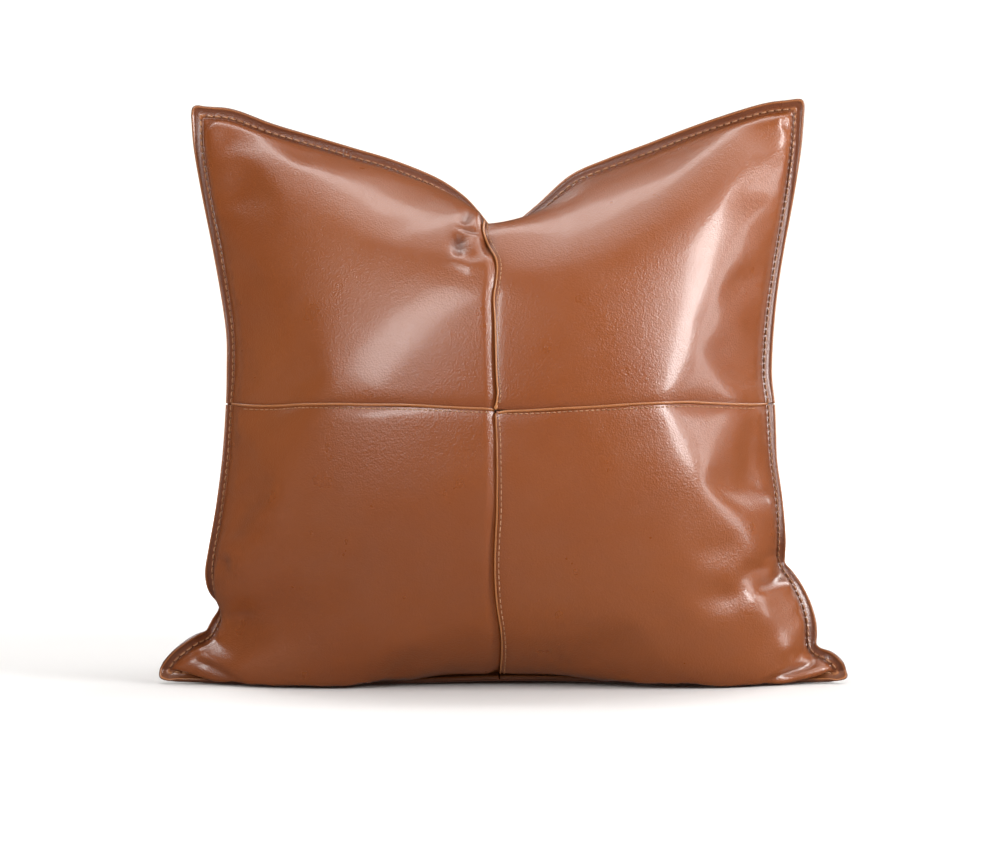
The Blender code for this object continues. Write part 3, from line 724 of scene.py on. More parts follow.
class Nodes:
    """A new material, and short names for adding nodes to it."""

    def __init__(self, name, colour, roughness, values=None):
        self.made = bpy.data.materials.new(name)
        self.made.use_nodes = True
        self.tree = self.made.node_tree
        self.shader = self.tree.nodes["Principled BSDF"]
        fill_sockets(self.shader, {"Base Color": (*colour, 1), "Roughness": roughness, **(values or {})})
        self.place = self.add("ShaderNodeTexCoord").outputs["Object"]

    def add(self, kind, values=None, **settings):
        node = self.tree.nodes.new(kind)
        for key, value in settings.items():
            setattr(node, key, value)
        fill_sockets(node, values or {})
        return node

    def link(self, source, target):
        self.tree.links.new(source, target)

    def put(self, source, node, key):
        """Sets a socket to a number or a colour, or links another node's output to it."""
        if isinstance(source, bpy.types.NodeSocket):
            self.link(source, node.inputs[key])
        else:
            node.inputs[key].default_value = (*source, 1) if isinstance(source, tuple) else source

    def noise(self, scale, detail=2.0, roughness=0.5):
        node = self.add("ShaderNodeTexNoise", {"Scale": scale, "Detail": detail, "Roughness": roughness})
        self.link(self.place, node.inputs["Vector"])
        return node.outputs["Fac"]

    def cells(self, scale):
        node = self.add("ShaderNodeTexVoronoi", {"Scale": scale})
        self.link(self.place, node.inputs["Vector"])
        return node.outputs["Distance"]

    def waves(self, scale, distortion, turn=(0, 0, 0)):
        mapping = self.add("ShaderNodeMapping", {"Rotation": turn})
        self.link(self.place, mapping.inputs["Vector"])
        values = {"Scale": scale, "Distortion": distortion, "Detail": 2.0}
        node = self.add("ShaderNodeTexWave", values, bands_direction="X")
        self.link(mapping.outputs["Vector"], node.inputs["Vector"])
        return node.outputs["Fac"]

    def attribute(self, name):
        return self.add("ShaderNodeAttribute", attribute_name=name).outputs["Fac"]

    def ramp(self, source, low, high, at=(0.0, 1.0)):
        values = {"From Min": at[0], "From Max": at[1], "To Min": low, "To Max": high}
        node = self.add("ShaderNodeMapRange", values)
        self.link(source, node.inputs["Value"])
        return node.outputs["Result"]

    def math(self, operation, a, b):
        node = self.add("ShaderNodeMath", operation=operation)
        self.put(a, node, 0)
        self.put(b, node, 1)
        return node.outputs[0]

    def total(self, *terms):
        """The sum of (source, weight) pairs."""
        whole = None
        for source, weight in terms:
            part = source if weight == 1 else self.math("MULTIPLY", source, weight)
            whole = part if whole is None else self.math("ADD", whole, part)
        return whole

    def mix(self, share, a, b):
        node = self.add("ShaderNodeMix", data_type="RGBA", blend_type="MIX")
        self.link(share, node.inputs["Factor"])
        self.put(a, node, 6)
        self.put(b, node, 7)
        return node.outputs[2]

    def colour(self, source):
        self.link(source, self.shader.inputs["Base Color"])

    def roughness(self, source):
        self.link(source, self.shader.inputs["Roughness"])

    def relief(self, height, distance, strength):
        node = self.add("ShaderNodeBump", {"Strength": strength, "Distance": distance})
        self.link(height, node.inputs["Height"])
        self.link(node.outputs["Normal"], self.shader.inputs["Normal"])


def leather_material():
    """Glossy tan faux leather: a fine pebble grain and slow changes of colour, made paler by wear and
    painted highlight and darker by painted shade, as the vertex marks say.
    """
    gloss = {"Specular IOR Level": 0.75, "Coat Weight": 0.4, "Coat Roughness": 0.15, "IOR": 1.5}
    n = Nodes("leather", (0.27, 0.064, 0.018), 0.3, gloss)
    slow, blotch = n.noise(7.0, 3.0), n.noise(26.0, 1.0)
    base = n.mix(n.ramp(slow, 0, 1, (0.35, 0.65)), (0.224, 0.0545, 0.0105), (0.254, 0.0675, 0.0145))
    base = n.mix(n.ramp(blotch, 0, 0.25, (0.1, 0.9)), base, (0.200, 0.0455, 0.0088))
    # Paler where the vertex marks say: partly wear and partly painted highlight.
    base = n.mix(n.attribute("wear"), base, (0.56, 0.235, 0.085))
    # Darker where the vertex marks say: painted shade in creases, stitch holes, pleats and the flange's
    # band, and a dark outer edge.
    n.colour(n.mix(n.ramp(n.attribute("dirt"), 0, 0.85), base, (0.075, 0.020, 0.010)))
    n.relief(n.total((n.cells(820.0), 0.5), (n.noise(2300.0), 0.35), (n.noise(260.0), 0.5)), 0.0003, 0.85)
    n.roughness(n.ramp(n.noise(55.0), 0.24, 0.38, (0.1, 0.9)))
    return n.made


def thread_material():
    """Waxed thread with its twist."""
    n = Nodes("thread", (0.40, 0.19, 0.09), 0.45)
    n.colour(n.mix(n.ramp(n.noise(160.0), 0, 1, (0.35, 0.65)), (0.34, 0.15, 0.07), (0.50, 0.25, 0.13)))
    n.relief(n.waves(900.0, 1.0, (0.0, 0.7, 0.5)), 0.0002, 0.6)
    return n.made


def brass_material():
    """Aged brass, with darker patches and fine scratches."""
    n = Nodes("zip_metal", (0.55, 0.42, 0.26), 0.3, {"Metallic": 1.0})
    n.colour(n.mix(n.ramp(n.noise(420.0, 3.0), 0, 1, (0.4, 0.7)), (0.74, 0.57, 0.34), (0.42, 0.30, 0.17)))
    n.roughness(n.ramp(n.noise(900.0), 0.22, 0.42))
    n.relief(n.noise(2600.0), 0.00008, 0.5)
    return n.made


def coil_material():
    n = Nodes("zip_coil", (0.16, 0.08, 0.045), 0.42)
    n.colour(n.mix(n.noise(700.0), (0.12, 0.058, 0.032), (0.20, 0.10, 0.055)))
    return n.made


def woven_material(name, dark, pale, pitch, roughness):
    """A plain weave: two sets of threads that cross, in the object's own X and Z."""
    n = Nodes(name, pale, roughness)
    weave = n.math("MULTIPLY", n.waves(pitch, 0.4), n.waves(pitch, 0.4, (0.0, math.pi / 2, 0.0)))
    n.colour(n.mix(n.ramp(n.total((weave, 0.6), (n.noise(90.0, 3.0), 1)), 0, 1, (0.3, 1.1)), dark, pale))
    n.relief(weave, 0.00025, 0.8)
    return n.made


def fibre_material():
    """Loose polyester fibre, in tufts."""
    n = Nodes("fibre", (0.9, 0.9, 0.89), 0.95, {"Sheen Weight": 0.3})
    tuft = n.noise(60.0, 5.0, 0.7)
    n.colour(n.mix(tuft, (0.80, 0.80, 0.79), (0.95, 0.95, 0.94)))
    n.relief(n.total((tuft, 1), (n.noise(400.0, 4.0, 0.7), 1)), 0.004, 0.7)
    return n.made


LEATHER_SKIN = leather_material()
THREAD = thread_material()
BRASS = brass_material()
COIL = coil_material()
TAPE = woven_material("zip_cloth", (0.10, 0.05, 0.03), (0.27, 0.145, 0.085), 420.0, 0.85)
COTTON = woven_material("insert_cloth", (0.66, 0.65, 0.62), (0.88, 0.87, 0.84), 300.0, 0.92)
FIBRE = fibre_material()


def settle(obj, node, body="cushion"):
    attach(obj, body)
    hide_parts(node)
    return obj


# The panels: their grid lines, the gap under the seam, and the zip's window between the back two
FRONT_STEP = EDGE_PITCH / 3
BACK_STEP = EDGE_PITCH / 2
SEAM_GAP = 0.6 * MM
LEAST_THICKNESS = 0.1 * MM
ZIP_WINDOW = 4.3 * MM
ZIP_SLIT = 0.15 * MM
ZIP_LINE = 1 * MM
HEM = 5 * MM
HEM_LINES = np.array([0.6, 1.4, 2.4, 3.4]) * MM
HEM_ROLL = 0.5 * MM


def half_lines(step):
    """The grid lines of a panel from the middle seam out to the flange's edge."""
    near = np.array([SEAM_GAP, 1.1 * MM, 1.7 * MM, 2.4 * MM, 3.3 * MM])
    middle = np.arange(3 * step, SEAM - 0.9 * MM, step)
    return np.concatenate([near, middle, [SEAM - 0.6 * MM], SEAM + FLANGE_AT])


def zip_edge(u, v):
    """Moves the grid lines beside the zip to the edges of its window, which closes past the zip's ends."""
    opened = 1 - smooth_step((np.abs(u) - ZIP_PATTERN_REACH + 4.5 * MM) / (5 * MM))
    half_width = ZIP_SLIT + (ZIP_WINDOW - ZIP_SLIT) * opened
    off = v - ZIP_V
    return np.where(np.abs(np.abs(off) - ZIP_LINE) < 1e-7, ZIP_V + np.sign(off) * half_width, v)


def panel(name, node, across, upward, face):
    """One leather panel of the cover. The back's panels are hemmed along the zip."""
    u, v = np.meshgrid(across, upward)
    at = v if face.front else zip_edge(u, v)
    outer, normal = skin(u, at, face)
    s = np.maximum(np.maximum(np.abs(u), np.abs(v)) - SEAM, 0)
    thick = np.where(s > 0, np.interp(s, FLANGE_AT, FLANGE_HEIGHT) - FLANGE_GAP, LEATHER - FLANGE_GAP)
    if not face.front:
        hem = HEM_ROLL * bump(np.abs(at - ZIP_V) - ZIP_WINDOW - 1 * MM, 1.2 * MM)
        hem = hem * (np.abs(u) < ZIP_PATTERN_REACH)
        outer = outer + normal * hem[..., None]
        thick = thick + hem
    inner = outer - normal * np.maximum(thick, LEAST_THICKNESS)[..., None]
    obj = shell(name, outer, inner, LEATHER_SKIN, flip=not face.front)
    # Paler marks of wear and painted highlight, and darker marks of painted shade, per vertex.
    wear, dirt = wear_and_painted_light(u, v, face, outer[..., 0], outer[..., 2])
    mark(obj, wear=np.stack([wear, wear]), dirt=np.stack([dirt, dirt]))
    settle(obj, node)


def ironed(grid, front):
    """The settled cloth without its smallest crumples. One place on the front is made smoother still."""
    u, v = np.meshgrid(CLOTH_AT, CLOTH_AT)
    rest = stuffed(u, v, front)
    moved = grid - rest
    smooth_place = bump(u - 62 * MM, 58 * MM) * smooth_step((v - 75 * MM) / (60 * MM)) * front
    for turn in range(40):
        wide = np.pad(moved, ((1, 1), (1, 1), (0, 0)), mode="edge")
        wide = (wide[:-2] + 2 * wide[1:-1] + wide[2:]) / 4
        wide = (wide[:, :-2] + 2 * wide[:, 1:-1] + wide[:, 2:]) / 4
        share = np.ones_like(u) if turn < 3 else smooth_place
        moved = moved + (wide - moved) * share[..., None]
    moved[sewn_edge(u, v)] = 0
    return rest + moved


cloth_front, cloth_back = settled_cloth()
FRONT, BACK = Face(ironed(cloth_front, True), True), Face(ironed(cloth_back, False), False)


def build_front():
    half = half_lines(FRONT_STEP)
    for side, across in (("left", -half[::-1]), ("right", half)):
        for level, upward in (("lower", -half[::-1]), ("upper", half)):
            panel(f"cover_front_{level}_{side}", f"front_panel_{level}_{side}", across, upward, FRONT)


def build_back():
    half = half_lines(BACK_STEP)
    half = np.concatenate([[0.0], half[half > 2 * BACK_STEP]])
    across = np.concatenate([-half[:0:-1], half])
    hem = HEM_LINES + ZIP_WINDOW
    low, high = ZIP_V - ZIP_LINE, ZIP_V + ZIP_LINE
    below = np.concatenate([across[across < low - HEM], low - hem, [low]])
    above = np.concatenate([[high], high + hem, across[across > high + HEM]])
    panel("cover_back_lower", "back_panel_lower", across, np.sort(below), BACK)
    panel("cover_back_upper", "back_panel_upper", across, np.sort(above), BACK)


def seam_place(run, along, beside=0.0):
    """(u, v) of a place along one arm of the cross seam, and beside it: to the right or downward."""
    if run in ("upper", "lower"):
        return np.full_like(along, beside), along
    return along, np.full_like(along, -beside)


# A welt's cross-section in millimetres: along the leather, then out from it
WELT_PROFILE = np.array([
    (-0.75, -1.6), (-0.75, 0.3), (-0.68, 0.85), (-0.42, 1.25), (0.0, 1.4),
    (0.42, 1.25), (0.68, 0.85), (0.75, 0.3), (0.75, -1.6),
]) * MM
WELT_BESIDE = 1.6 * MM
WELT_END = 1.2 * MM
# Each arm of the cross seam: where it starts and ends, how far it leans over, and how much its crest is
# paled, partly as wear and partly as a painted highlight
WELTS = {
    "upper": (0.2 * MM, SEAM + WELT_END, 0.15, 0.7),
    "lower": (-SEAM - WELT_END, -2.4 * MM, 0.1, 0.5),
    "left": (-SEAM - WELT_END, -1.3 * MM, 0.25, 0.45),
    "right": (1.6 * MM, SEAM + WELT_END, 0.25, 0.45),
}


def build_welts():
    """The folded leather edge that stands up along each arm of the cross seam."""
    for run, (low, high, lean, crest_wear_and_highlight) in WELTS.items():
        along = np.linspace(low, high, 230)
        left, left_normal = skin(*seam_place(run, along, -WELT_BESIDE), FRONT)
        right, right_normal = skin(*seam_place(run, along, WELT_BESIDE), FRONT)
        path = (left + right) / 2
        normal = unit(left_normal + right_normal)
        rise = 0.25 * MM * np.sin(along / (23 * MM)) + 0.15 * MM * np.sin(along / (7 * MM) + 1)
        path += normal * rise[:, None]
        side = unit(right - left)
        sway = 0.3 * MM * np.sin(along / (31 * MM) + 0.5) + 0.12 * MM * np.sin(along / (9 * MM))
        path += side * sway[:, None]
        if run == "right":
            hook = np.exp(-(along - low) / (5 * MM))
            path += side * (2.0 * MM * hook)[:, None]
        end = smooth_step((along - low) / WELT_END) * smooth_step((high - along) / WELT_END)
        width = 0.35 + 0.65 * end
        if run == "upper":
            width = width * (1 + 0.9 * bump(along - low - 1.8 * MM, 1.6 * MM))
        out_by, up_by = (WELT_PROFILE[:, 0] - lean * WELT_PROFILE[:, 1])[None], WELT_PROFILE[:, 1][None]
        rings = (
            path[:, None]
            + side[:, None] * (out_by * width[:, None])[..., None]
            + normal[:, None] * (up_by * (0.6 + 0.4 * end)[:, None])[..., None]
        )
        m, n = rings.shape[:2]
        faces = [*quads(m, n, wrap=True).tolist(), list(range(n))[::-1], list(range((m - 1) * n, m * n))]
        obj = new_object(f"welt_{run}", rings.reshape(-1, 3), faces, LEATHER_SKIN)
        # The crest is paler, partly wear and partly a painted highlight, more so near the cross on the upper
        # and right arms. The root is darkened with painted shade where the welt meets the panel.
        wear_and_highlight_near_cross = 1 + 0.8 * bump(np.abs(along) - 3 * MM, 4 * MM) * (run in ("upper", "right"))
        crest = np.tile(smooth_step(WELT_PROFILE[:, 1] / MM - 0.2), (m, 1)) * wear_and_highlight_near_cross[:, None]
        root = np.tile(smooth_step(-0.2 - WELT_PROFILE[:, 1] / MM), (m, 1))
        mark(obj, wear=crest_wear_and_highlight * crest, dirt=0.7 * root)
        settle(obj, f"seam_welt_{run}")


# Length of a stitch, radius of its thread and its lift off the leather
EDGE_STITCH = (3.4 * MM, 0.4 * MM, 0.22 * MM)
SEAM_STITCH = (2.9 * MM, 0.3 * MM, 0.12 * MM)
ZIP_STITCH = (2.4 * MM, 0.32 * MM, 0.15 * MM)
ZIP_STITCH_PITCH = 3.2 * MM


def stitches(name, node, centres, place, size):
    """A row of separate stitches. place(along) gives points on the leather and its outward direction."""
    length, radius, lift = size
    ring = np.linspace(-1, 1, 9)
    points, normals = place(centres[:, None] + ring[None] * length / 2)
    arc = 1 - np.abs(ring) ** 3
    height = lift + radius * 1.9 * (arc - 0.55)
    points = points + normals * height[None, :, None]
    points[..., 2] = np.maximum(points[..., 2], radius)
    width = np.tile(radius * (0.75 + 0.25 * arc), (len(centres), 1))
    settle(bundle(name, points, normals, width * 1.1, width * 0.85, THREAD), node)


def build_stitches():
    centres = (np.arange(-43, 43) + 0.5) * EDGE_PITCH
    for face_name, face in (("front", FRONT), ("back", BACK)):
        for side in ("bottom", "top", "left", "right"):

            def on_flange(along, face=face, side=side):
                reach = SEAM + EDGE_STITCH_AT
                fixed = np.full_like(along, reach if side in ("right", "top") else -reach)
                u, v = (fixed, along) if side in ("left", "right") else (along, fixed)
                return skin(u, v, face)

            end = f"{face_name}_{side}"
            stitches(f"stitches_{end}", f"stitching_{end}", centres, on_flange, EDGE_STITCH)
    for run in ("upper", "lower", "left", "right"):
        sign = -1 if run in ("lower", "left") else 1
        centres = sign * np.arange(7 * MM, SEAM - 5 * MM, SEAM_PITCH)

        def beside_seam(along, run=run):
            return skin(*seam_place(run, along, SEAM_STITCH_AT), FRONT)

        stitches(f"seam_stitches_{run}", f"welt_stitching_{run}", centres, beside_seam, SEAM_STITCH)


def on_zip(x, up, out):
    """Points given along the zip, up the cloth and outward from the cover's inner face."""
    x, up, out = np.broadcast_arrays(x, up, out)
    return ZIP_CENTRE + np.stack([x, 0 * x, 0 * x], -1) + up[..., None] * ZIP_UP + out[..., None] * ZIP_OUT


# Lines along each tape, by distance from the zip's middle
TAPE_LINES = np.array([0.6, 0.9, 1.6, 3, 5, 7, 9, 11, 12.2, 12.6]) * MM
TAPE_FACE, TAPE_BACK = -0.4 * MM, -0.9 * MM
TAPE_RIB, TAPE_RIB_PITCH = 0.12 * MM, 0.9 * MM
COIL_REACH = 139 * MM
COIL_PITCH = 2.0 * MM


def build_zip():
    reach = ZIP_REACH - 1 * MM
    for name, sign in (("upper", 1), ("lower", -1)):
        xs, ws = np.meshgrid(np.linspace(-reach, reach, 291), TAPE_LINES * sign)
        rib = TAPE_RIB * np.sin(np.abs(ws) / TAPE_RIB_PITCH * math.pi) * (np.abs(ws) > 2.7 * MM)
        outer, inner = on_zip(xs, ws, TAPE_FACE + rib), on_zip(xs, ws, TAPE_BACK)
        settle(shell(f"tape_{name}", outer, inner, TAPE, flip=sign > 0), f"zip_tape_{name}")
        build_teeth(name, sign)
        centres = np.arange(-reach + 3 * MM, reach - 2 * MM, ZIP_STITCH_PITCH)

        def beside_window(along, sign=sign):
            points = on_zip(along, sign * (ZIP_WINDOW + 2.4 * MM), LEATHER + 0.25 * MM)
            return points, np.broadcast_to(ZIP_OUT, points.shape)

        stitches(f"zip_stitches_{name}", f"zip_stitching_{name}", centres, beside_window, ZIP_STITCH)


def build_teeth(name, sign):
    """A coil of nylon: one rounded loop per tooth, with a broad head that clears the slider's post."""
    centres = np.arange(-COIL_REACH, COIL_REACH, COIL_PITCH) + (COIL_PITCH / 2 if sign > 0 else 0)
    s = np.linspace(0, 1, 11)
    w = np.interp(s, [0, 0.12, 0.5, 0.8, 1.0], [2.45, 2.5, 1.5, 0.85, 0.4]) * MM * sign
    h = np.interp(s, [0, 0.12, 0.3, 0.75, 0.92, 1.0], [0.15, 0.6, 1.05, 1.1, 0.85, 0.7]) * MM
    paths = on_zip(centres[:, None], w[None], h[None])
    ups = np.broadcast_to(ZIP_OUT, paths.shape)
    width = np.interp(s, [0, 0.2, 0.75, 0.9, 1.0], [0.3, 0.36, 0.36, 0.46, 0.3]) * MM
    width = np.tile(width, (len(centres), 1))
    settle(bundle(f"coil_{name}", paths, ups, width, width * 0.95, COIL), f"zip_teeth_{name}")


def cast(name, pieces, bevel, node, body="cushion"):
    """One brass part made of flat castings. Each is an outline, an optional hole, the two levels it reaches
    between, and the plane of its outline: along the zip and up, or along the zip and outward."""
    whole = bmesh.new()
    for outline, hole, low, high, plane in pieces:
        part = bmesh.new()
        edges = []
        for loop in (outline, hole):
            corners = [part.verts.new((x, y, low)) for x, y in loop]
            edges += [part.edges.new(pair) for pair in zip(corners, corners[1:] + corners[:1])]
        bmesh.ops.triangle_fill(part, edges=edges, use_beauty=True)
        raised = bmesh.ops.extrude_face_region(part, geom=part.faces[:], use_keep_orig=True)
        for vert in (item for item in raised["geom"] if isinstance(item, bmesh.types.BMVert)):
            vert.co.z = high
        bmesh.ops.recalc_face_normals(part, faces=part.faces[:])
        sharp = [edge for edge in part.edges if edge.calc_face_angle(0) > math.radians(50)]
        bmesh.ops.bevel(
            part, geom=sharp, offset=bevel, segments=2, profile=0.6, affect="EDGES", clamp_overlap=True
        )
        for vert in part.verts:
            x, y, z = (c * MM for c in vert.co)
            up, out = (y, z) if plane == "flat" else (z, y)
            vert.co = Vector(on_zip(np.array(x), np.array(up), np.array(out)).tolist())
        bmesh.ops.recalc_face_normals(part, faces=part.faces[:])
        made = bpy.data.meshes.new("casting")
        part.to_mesh(made)
        part.free()
        whole.from_mesh(made)
        bpy.data.meshes.remove(made)
    data = bpy.data.meshes.new(name)
    whole.to_mesh(data)
    whole.free()
    data.materials.append(BRASS)
    data.shade_smooth()
    data.set_sharp_from_angle(angle=math.radians(32))
    obj = bpy.data.objects.new(name, data)
    bpy.context.scene.collection.objects.link(obj)
    return settle(obj, node, body)


def rounded(low_x, high_x, low_y, high_y, radius):
    """A rectangle with round corners, in millimetres."""
    corners = []
    for cx, cy, start in (
        (high_x - radius, high_y - radius, 0),
        (low_x + radius, high_y - radius, 90),
        (low_x + radius, low_y + radius, 180),
        (high_x - radius, low_y + radius, 270),
    ):
        for turn in (0, 30, 60, 90):
            a = math.radians(start + turn)
            corners.append((cx + radius * math.cos(a), cy + radius * math.sin(a)))
    return corners


def build_stops():
    """Brass clips: two at the zip's open end and one across both rows of teeth at its other end."""
    for name, side in (("upper", 1), ("lower", -1)):
        low, high = sorted((side * 0.6, side * 2.6))
        pieces = [
            (rounded(140.3, 142.6, low, high, 0.5), [], 0.05, 1.8, "flat"),
            (rounded(140.9, 142.0, low + 0.25, high - 0.25, 0.4), [], 1.75, 2.0, "flat"),
        ]
        cast(f"top_stop_{name}", pieces, 0.14, f"zip_top_stop_{name}")
    pieces = [
        (rounded(-143.0, -140.3, -2.6, 2.6, 0.6), [], 0.05, 1.8, "flat"),
        (rounded(-142.3, -141.0, -2.2, 2.2, 0.5), [], 1.75, 2.0, "flat"),
    ]
    cast("bottom_stop", pieces, 0.16, "zip_bottom_stop")


SLIDER_X = 134.5
SLIDER_PLATE = [
    (5.0, 0.0), (4.6, 2.3), (3.4, 3.45), (1.2, 3.7), (-1.5, 3.35), (-3.6, 2.9), (-4.8, 2.2), (-5.0, 0.0),
    (-4.8, -2.2), (-3.6, -2.9), (-1.5, -3.35), (1.2, -3.7), (3.4, -3.45), (4.6, -2.3),
]
BRIDGE = [
    (-3.3, 3.0), (-3.3, 4.7), (-2.8, 5.5), (-1.8, 5.9), (1.8, 5.9), (2.8, 5.5), (3.3, 4.7), (3.3, 3.0),
    (2.2, 3.0), (2.2, 4.5), (1.8, 5.0), (-1.8, 5.0), (-2.2, 4.5), (-2.2, 3.0),
]
PULL = [
    (135.05, -1.9), (135.05, 1.9), (134.5, 2.45), (131.0, 2.55), (129.0, 2.2), (126.5, 1.75), (123.0, 1.85),
    (119.0, 2.4), (115.5, 2.7), (113.4, 2.3), (112.6, 1.1), (112.5, 0.0), (112.6, -1.1), (113.4, -2.3),
    (115.5, -2.7), (119.0, -2.4), (123.0, -1.85), (126.5, -1.75), (129.0, -2.2), (131.0, -2.55),
    (134.5, -2.45),
]


def build_slider():
    """The slider: a plate on each side of the teeth, a post, two guide rims and a bridge. Its pull hangs on
    the bridge, with a waist, a raised rib and three finger ridges."""
    shield = [(SLIDER_X + x, w) for x, w in SLIDER_PLATE]
    pieces = [
        (shield, [], 2.0, 3.2, "flat"),
        (shield, [], -2.4, -1.2, "flat"),
        (rounded(SLIDER_X - 4.2, SLIDER_X - 2.0, -0.25, 0.25, 0.2), [], -1.3, 2.1, "flat"),
        ([(SLIDER_X + x, n) for x, n in BRIDGE], [], -1.1, 1.1, "upright"),
        (rounded(SLIDER_X - 4.4, SLIDER_X - 3.4, -1.5, 1.5, 0.4), [], 3.1, 3.45, "flat"),
    ]
    for side in (-1, 1):
        low, high = sorted((side * 2.95, side * 3.45))
        pieces.append((rounded(SLIDER_X - 1.5, SLIDER_X + 3.0, low, high, 0.2), [], 0.35, 2.1, "flat"))
    cast("slider", pieces, 0.2, "zip_slider", "slider")
    pull = [(PULL, rounded(129.9, 133.95, -1.6, 1.6, 0.5), 3.65, 4.55, "flat")]
    for x in (115.4, 117.0, 118.6):
        pull.append((rounded(x - 0.35, x + 0.35, -1.7, 1.7, 0.3), [], 4.5, 4.85, "flat"))
    pull.append((rounded(121.0, 127.6, -0.55, 0.55, 0.5), [], 4.5, 4.75, "flat"))
    cast("pull_tab", pull, 0.16, "zip_pull_tab", "pull_tab")


# The insert sits inside the cover, a little way in from both faces
INSERT_GAP = 7 * MM
CORE_GAP = 3 * MM
INSERT_SHARE, CORE_SHARE = 0.94, 0.9
EDGE_ROOM = 40 * MM
# The chop pushes the insert's top edge down, by this share of its height
CHOP_PUSH = 0.4
CHOP_PUSH_WIDTH = 80 * MM


def inside_faces(gap, share, lines):
    """Places on the flat cover, and the points a gap inside its front and its back."""
    at = np.sin(np.linspace(-1, 1, lines) * math.pi / 2) * SEAM * share
    u, flat = np.meshgrid(at, at)
    v = flat * (1 - CHOP_PUSH * bump(u, CHOP_PUSH_WIDTH) * np.clip(flat / SEAM, 0, 1))
    front, back = FRONT.at(u, v), BACK.at(u, v)
    middle = (front + back) / 2
    edge = np.minimum(SEAM * share - np.abs(u), SEAM * share - np.abs(flat))
    room = smooth_step(edge / EDGE_ROOM)[..., None]
    out = []
    for side in (front, back):
        depth = side - middle
        length = np.linalg.norm(depth, axis=-1, keepdims=True)
        keep = np.clip(1 - (gap + 4 * MM) / np.maximum(length, 1e-6), 0, 1) * room
        out.append(middle + depth * keep)
    return u, v, out[0], out[1]


def build_insert():
    u, v, front, back = inside_faces(INSERT_GAP, INSERT_SHARE, 90)
    pucker = 0.6 * MM * np.sin(u / (5 * MM)) * np.exp(-(INSERT_SHARE * SEAM - np.abs(v)) / (12 * MM))
    for side, points, sign in (("front", front, -1), ("back", back, 1)):
        outer, inner = points.copy(), points.copy()
        outer[..., 1] += sign * (0.9 * MM + np.abs(pucker) * 0.3)
        inner[..., 1] += sign * 0.2 * MM
        obj = shell(f"insert_{side}", outer, inner, COTTON, flip=sign > 0)
        settle(obj, f"insert_cloth_{side}")
    u, v, front, back = inside_faces(INSERT_GAP + CORE_GAP, CORE_SHARE, 80)
    lumps = 0.3 * MM + np.abs(0.8 * MM * np.sin(u * 140) * np.sin(v * 170 + 1))
    front[..., 1] -= lumps
    back[..., 1] += lumps
    obj = shell("fibre_fill", front, back, FIBRE)
    settle(obj, "fibre_core")


FLOOR_RADIUS = 6.0
FLOOR_DROP = 0.0002


def build_stage():
    """A round pale floor that gets brighter away from the cushion, and so ends in the white background."""
    n = Nodes("backdrop", (0.86, 0.85, 0.84), 0.7, {"Emission Color": (1, 0.995, 0.985, 1)})
    n.colour(n.mix(n.noise(3.0), (0.85, 0.843, 0.835), (0.88, 0.876, 0.87)))
    far = n.add("ShaderNodeVectorMath", operation="LENGTH")
    n.link(n.place, far.inputs[0])
    n.link(n.ramp(far.outputs["Value"], 0.0, 0.95, (0.5, 1.7)), n.shader.inputs["Emission Strength"])
    rings, spokes = 40, 96
    radius = np.linspace(0.02, FLOOR_RADIUS, rings)[:, None]
    angle = np.arange(spokes) / spokes * 2 * math.pi
    points = np.stack([radius * np.cos(angle), radius * np.sin(angle), 0 * radius * angle - FLOOR_DROP], -1)
    faces = [*quads(rings, spokes, wrap=True).tolist(), list(range(spokes))]
    floor = new_object("floor", points.reshape(-1, 3), faces, n.made, smooth=False)
    floor.visible_glossy = False


# Lights around the cushion: azimuth from the front toward the right, elevation, distance, width, height,
# radiance, lean in degrees, and whether the gloss mirrors it
LIGHTS = {
    "window_right": (62, 25, 2.0, 0.42, 1.25, 20.0, 0, True),
    "window_side": (88, 8, 2.0, 0.5, 0.9, 5.0, 0, True),
    "window_left": (-25, 31, 1.9, 0.28, 1.1, 12.0, -33, True),
    "overhead": (0, 90, 2.1, 2.8, 1.3, 0.85, 0, True),
    "fill_left": (-48, 8, 2.0, 1.2, 0.6, 2.6, 0, False),
    "behind_left": (215, 38, 2.2, 1.3, 0.8, 4.0, 0, True),
    "behind_right": (140, 25, 2.2, 0.5, 1.2, 5.0, 0, True),
}
LIGHTS_AIM = Vector((0, -0.03, 0.2))
# A wide light above and behind, for the floor behind the cushion
WASH_SIZE = (4.0, 0.6)
WASH_POWER = 34
WASH_PLACE = (0, 0.45, 2.3)
WASH_TILT = 28
# Strengths of the sky: as the eye sees it, as the gloss mirrors it, and what it adds to the matt light
SKY_COLOUR = (1.0, 0.93, 0.86, 1)
BACKGROUND = 1.25
SKY_GLOSS = 0.065
SKY_FILL = 0.17


def area_light(name, width, height, energy, place, mirrored):
    """A flat light that shines along its own -Z. The camera doesn't see it."""
    light = bpy.data.lights.new(name, "AREA")
    light.shape = "RECTANGLE"
    light.size, light.size_y = width, height
    light.energy = energy
    obj = bpy.data.objects.new(name, light)
    obj.matrix_world = place
    obj.visible_camera = False
    obj.visible_glossy = mirrored
    bpy.context.scene.collection.objects.link(obj)


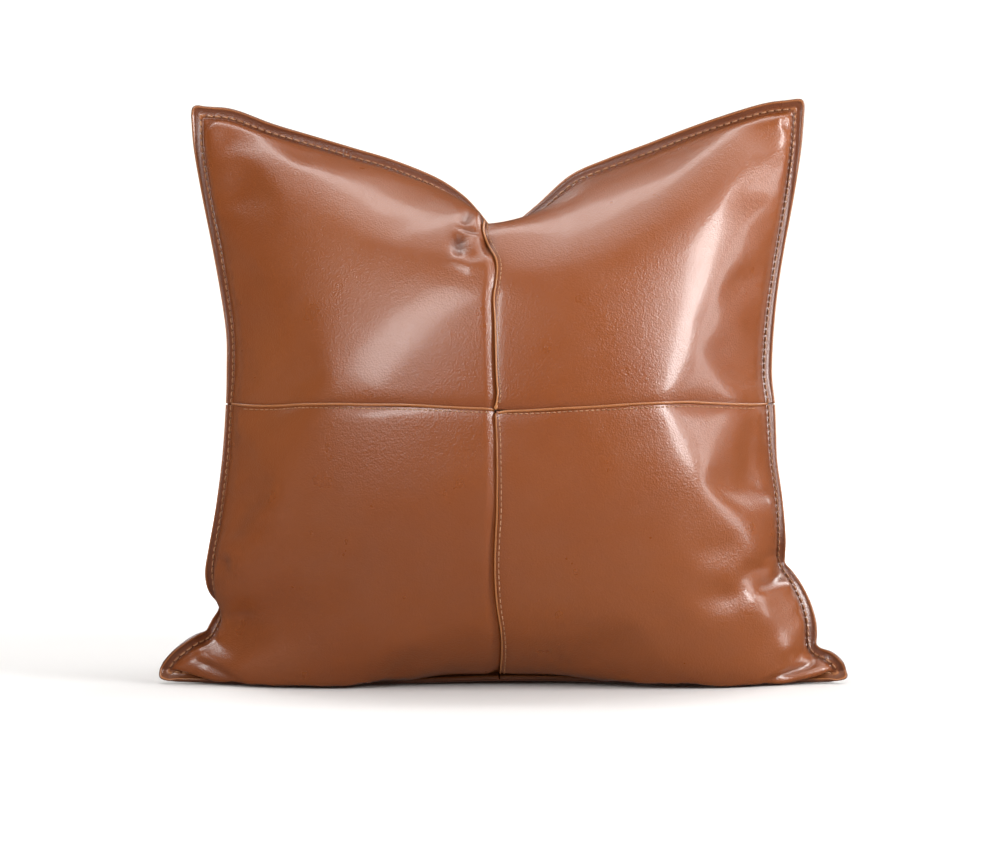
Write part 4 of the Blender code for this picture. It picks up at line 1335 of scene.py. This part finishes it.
def build_lights():
    for name, (azimuth, elevation, away, width, height, radiance, lean, mirrored) in LIGHTS.items():
        a, e = math.radians(azimuth), math.radians(elevation)
        way = Vector((math.sin(a) * math.cos(e), -math.cos(a) * math.cos(e), math.sin(e)))
        turn = (-way).to_track_quat("-Z", "Y").to_matrix().to_4x4()
        turn = turn @ Matrix.Rotation(math.radians(lean), 4, "Z")
        place = Matrix.Translation(LIGHTS_AIM + way * away) @ turn
        area_light(name, width, height, radiance * math.pi * width * height, place, mirrored)
    wash = Matrix.Translation(WASH_PLACE) @ Matrix.Rotation(math.radians(WASH_TILT), 4, "X")
    area_light("floor_wash", *WASH_SIZE, WASH_POWER, wash, True)


def build_sky():
    """A background that is white to the camera and dim to everything else."""
    world = bpy.data.worlds.new("studio")
    bpy.context.scene.world = world
    world.use_nodes = True
    nodes, links = world.node_tree.nodes, world.node_tree.links
    background, ray = nodes["Background"], nodes.new("ShaderNodeLightPath")
    background.inputs["Color"].default_value = SKY_COLOUR
    strength = SKY_GLOSS
    for kind, share in (("Is Diffuse Ray", SKY_FILL), ("Is Camera Ray", BACKGROUND - SKY_GLOSS)):
        more = nodes.new("ShaderNodeMath")
        more.operation = "MULTIPLY_ADD"
        links.new(ray.outputs[kind], more.inputs[0])
        more.inputs[1].default_value = share
        if isinstance(strength, float):
            more.inputs[2].default_value = strength
        else:
            links.new(strength, more.inputs[2])
        strength = more.outputs[0]
    links.new(strength, background.inputs["Strength"])
    bpy.context.scene.view_settings.view_transform = "Standard"


def build_camera():
    """At the photograph's viewing angle: a long lens, level with the middle and tilted down a little."""
    data = bpy.data.cameras.new("camera")
    data.lens = 91.2
    data.sensor_width = 36
    camera = bpy.data.objects.new("camera", data)
    camera.location = (-0.007, -1.614, 0.2)
    camera.rotation_euler = (math.radians(88.77), 0, 0)
    bpy.context.scene.collection.objects.link(camera)
    bpy.context.scene.camera = camera


build_front()
build_back()
build_welts()
build_stitches()
build_zip()
build_stops()
build_slider()
build_insert()
build_stage()
build_lights()
build_sky()
build_camera()
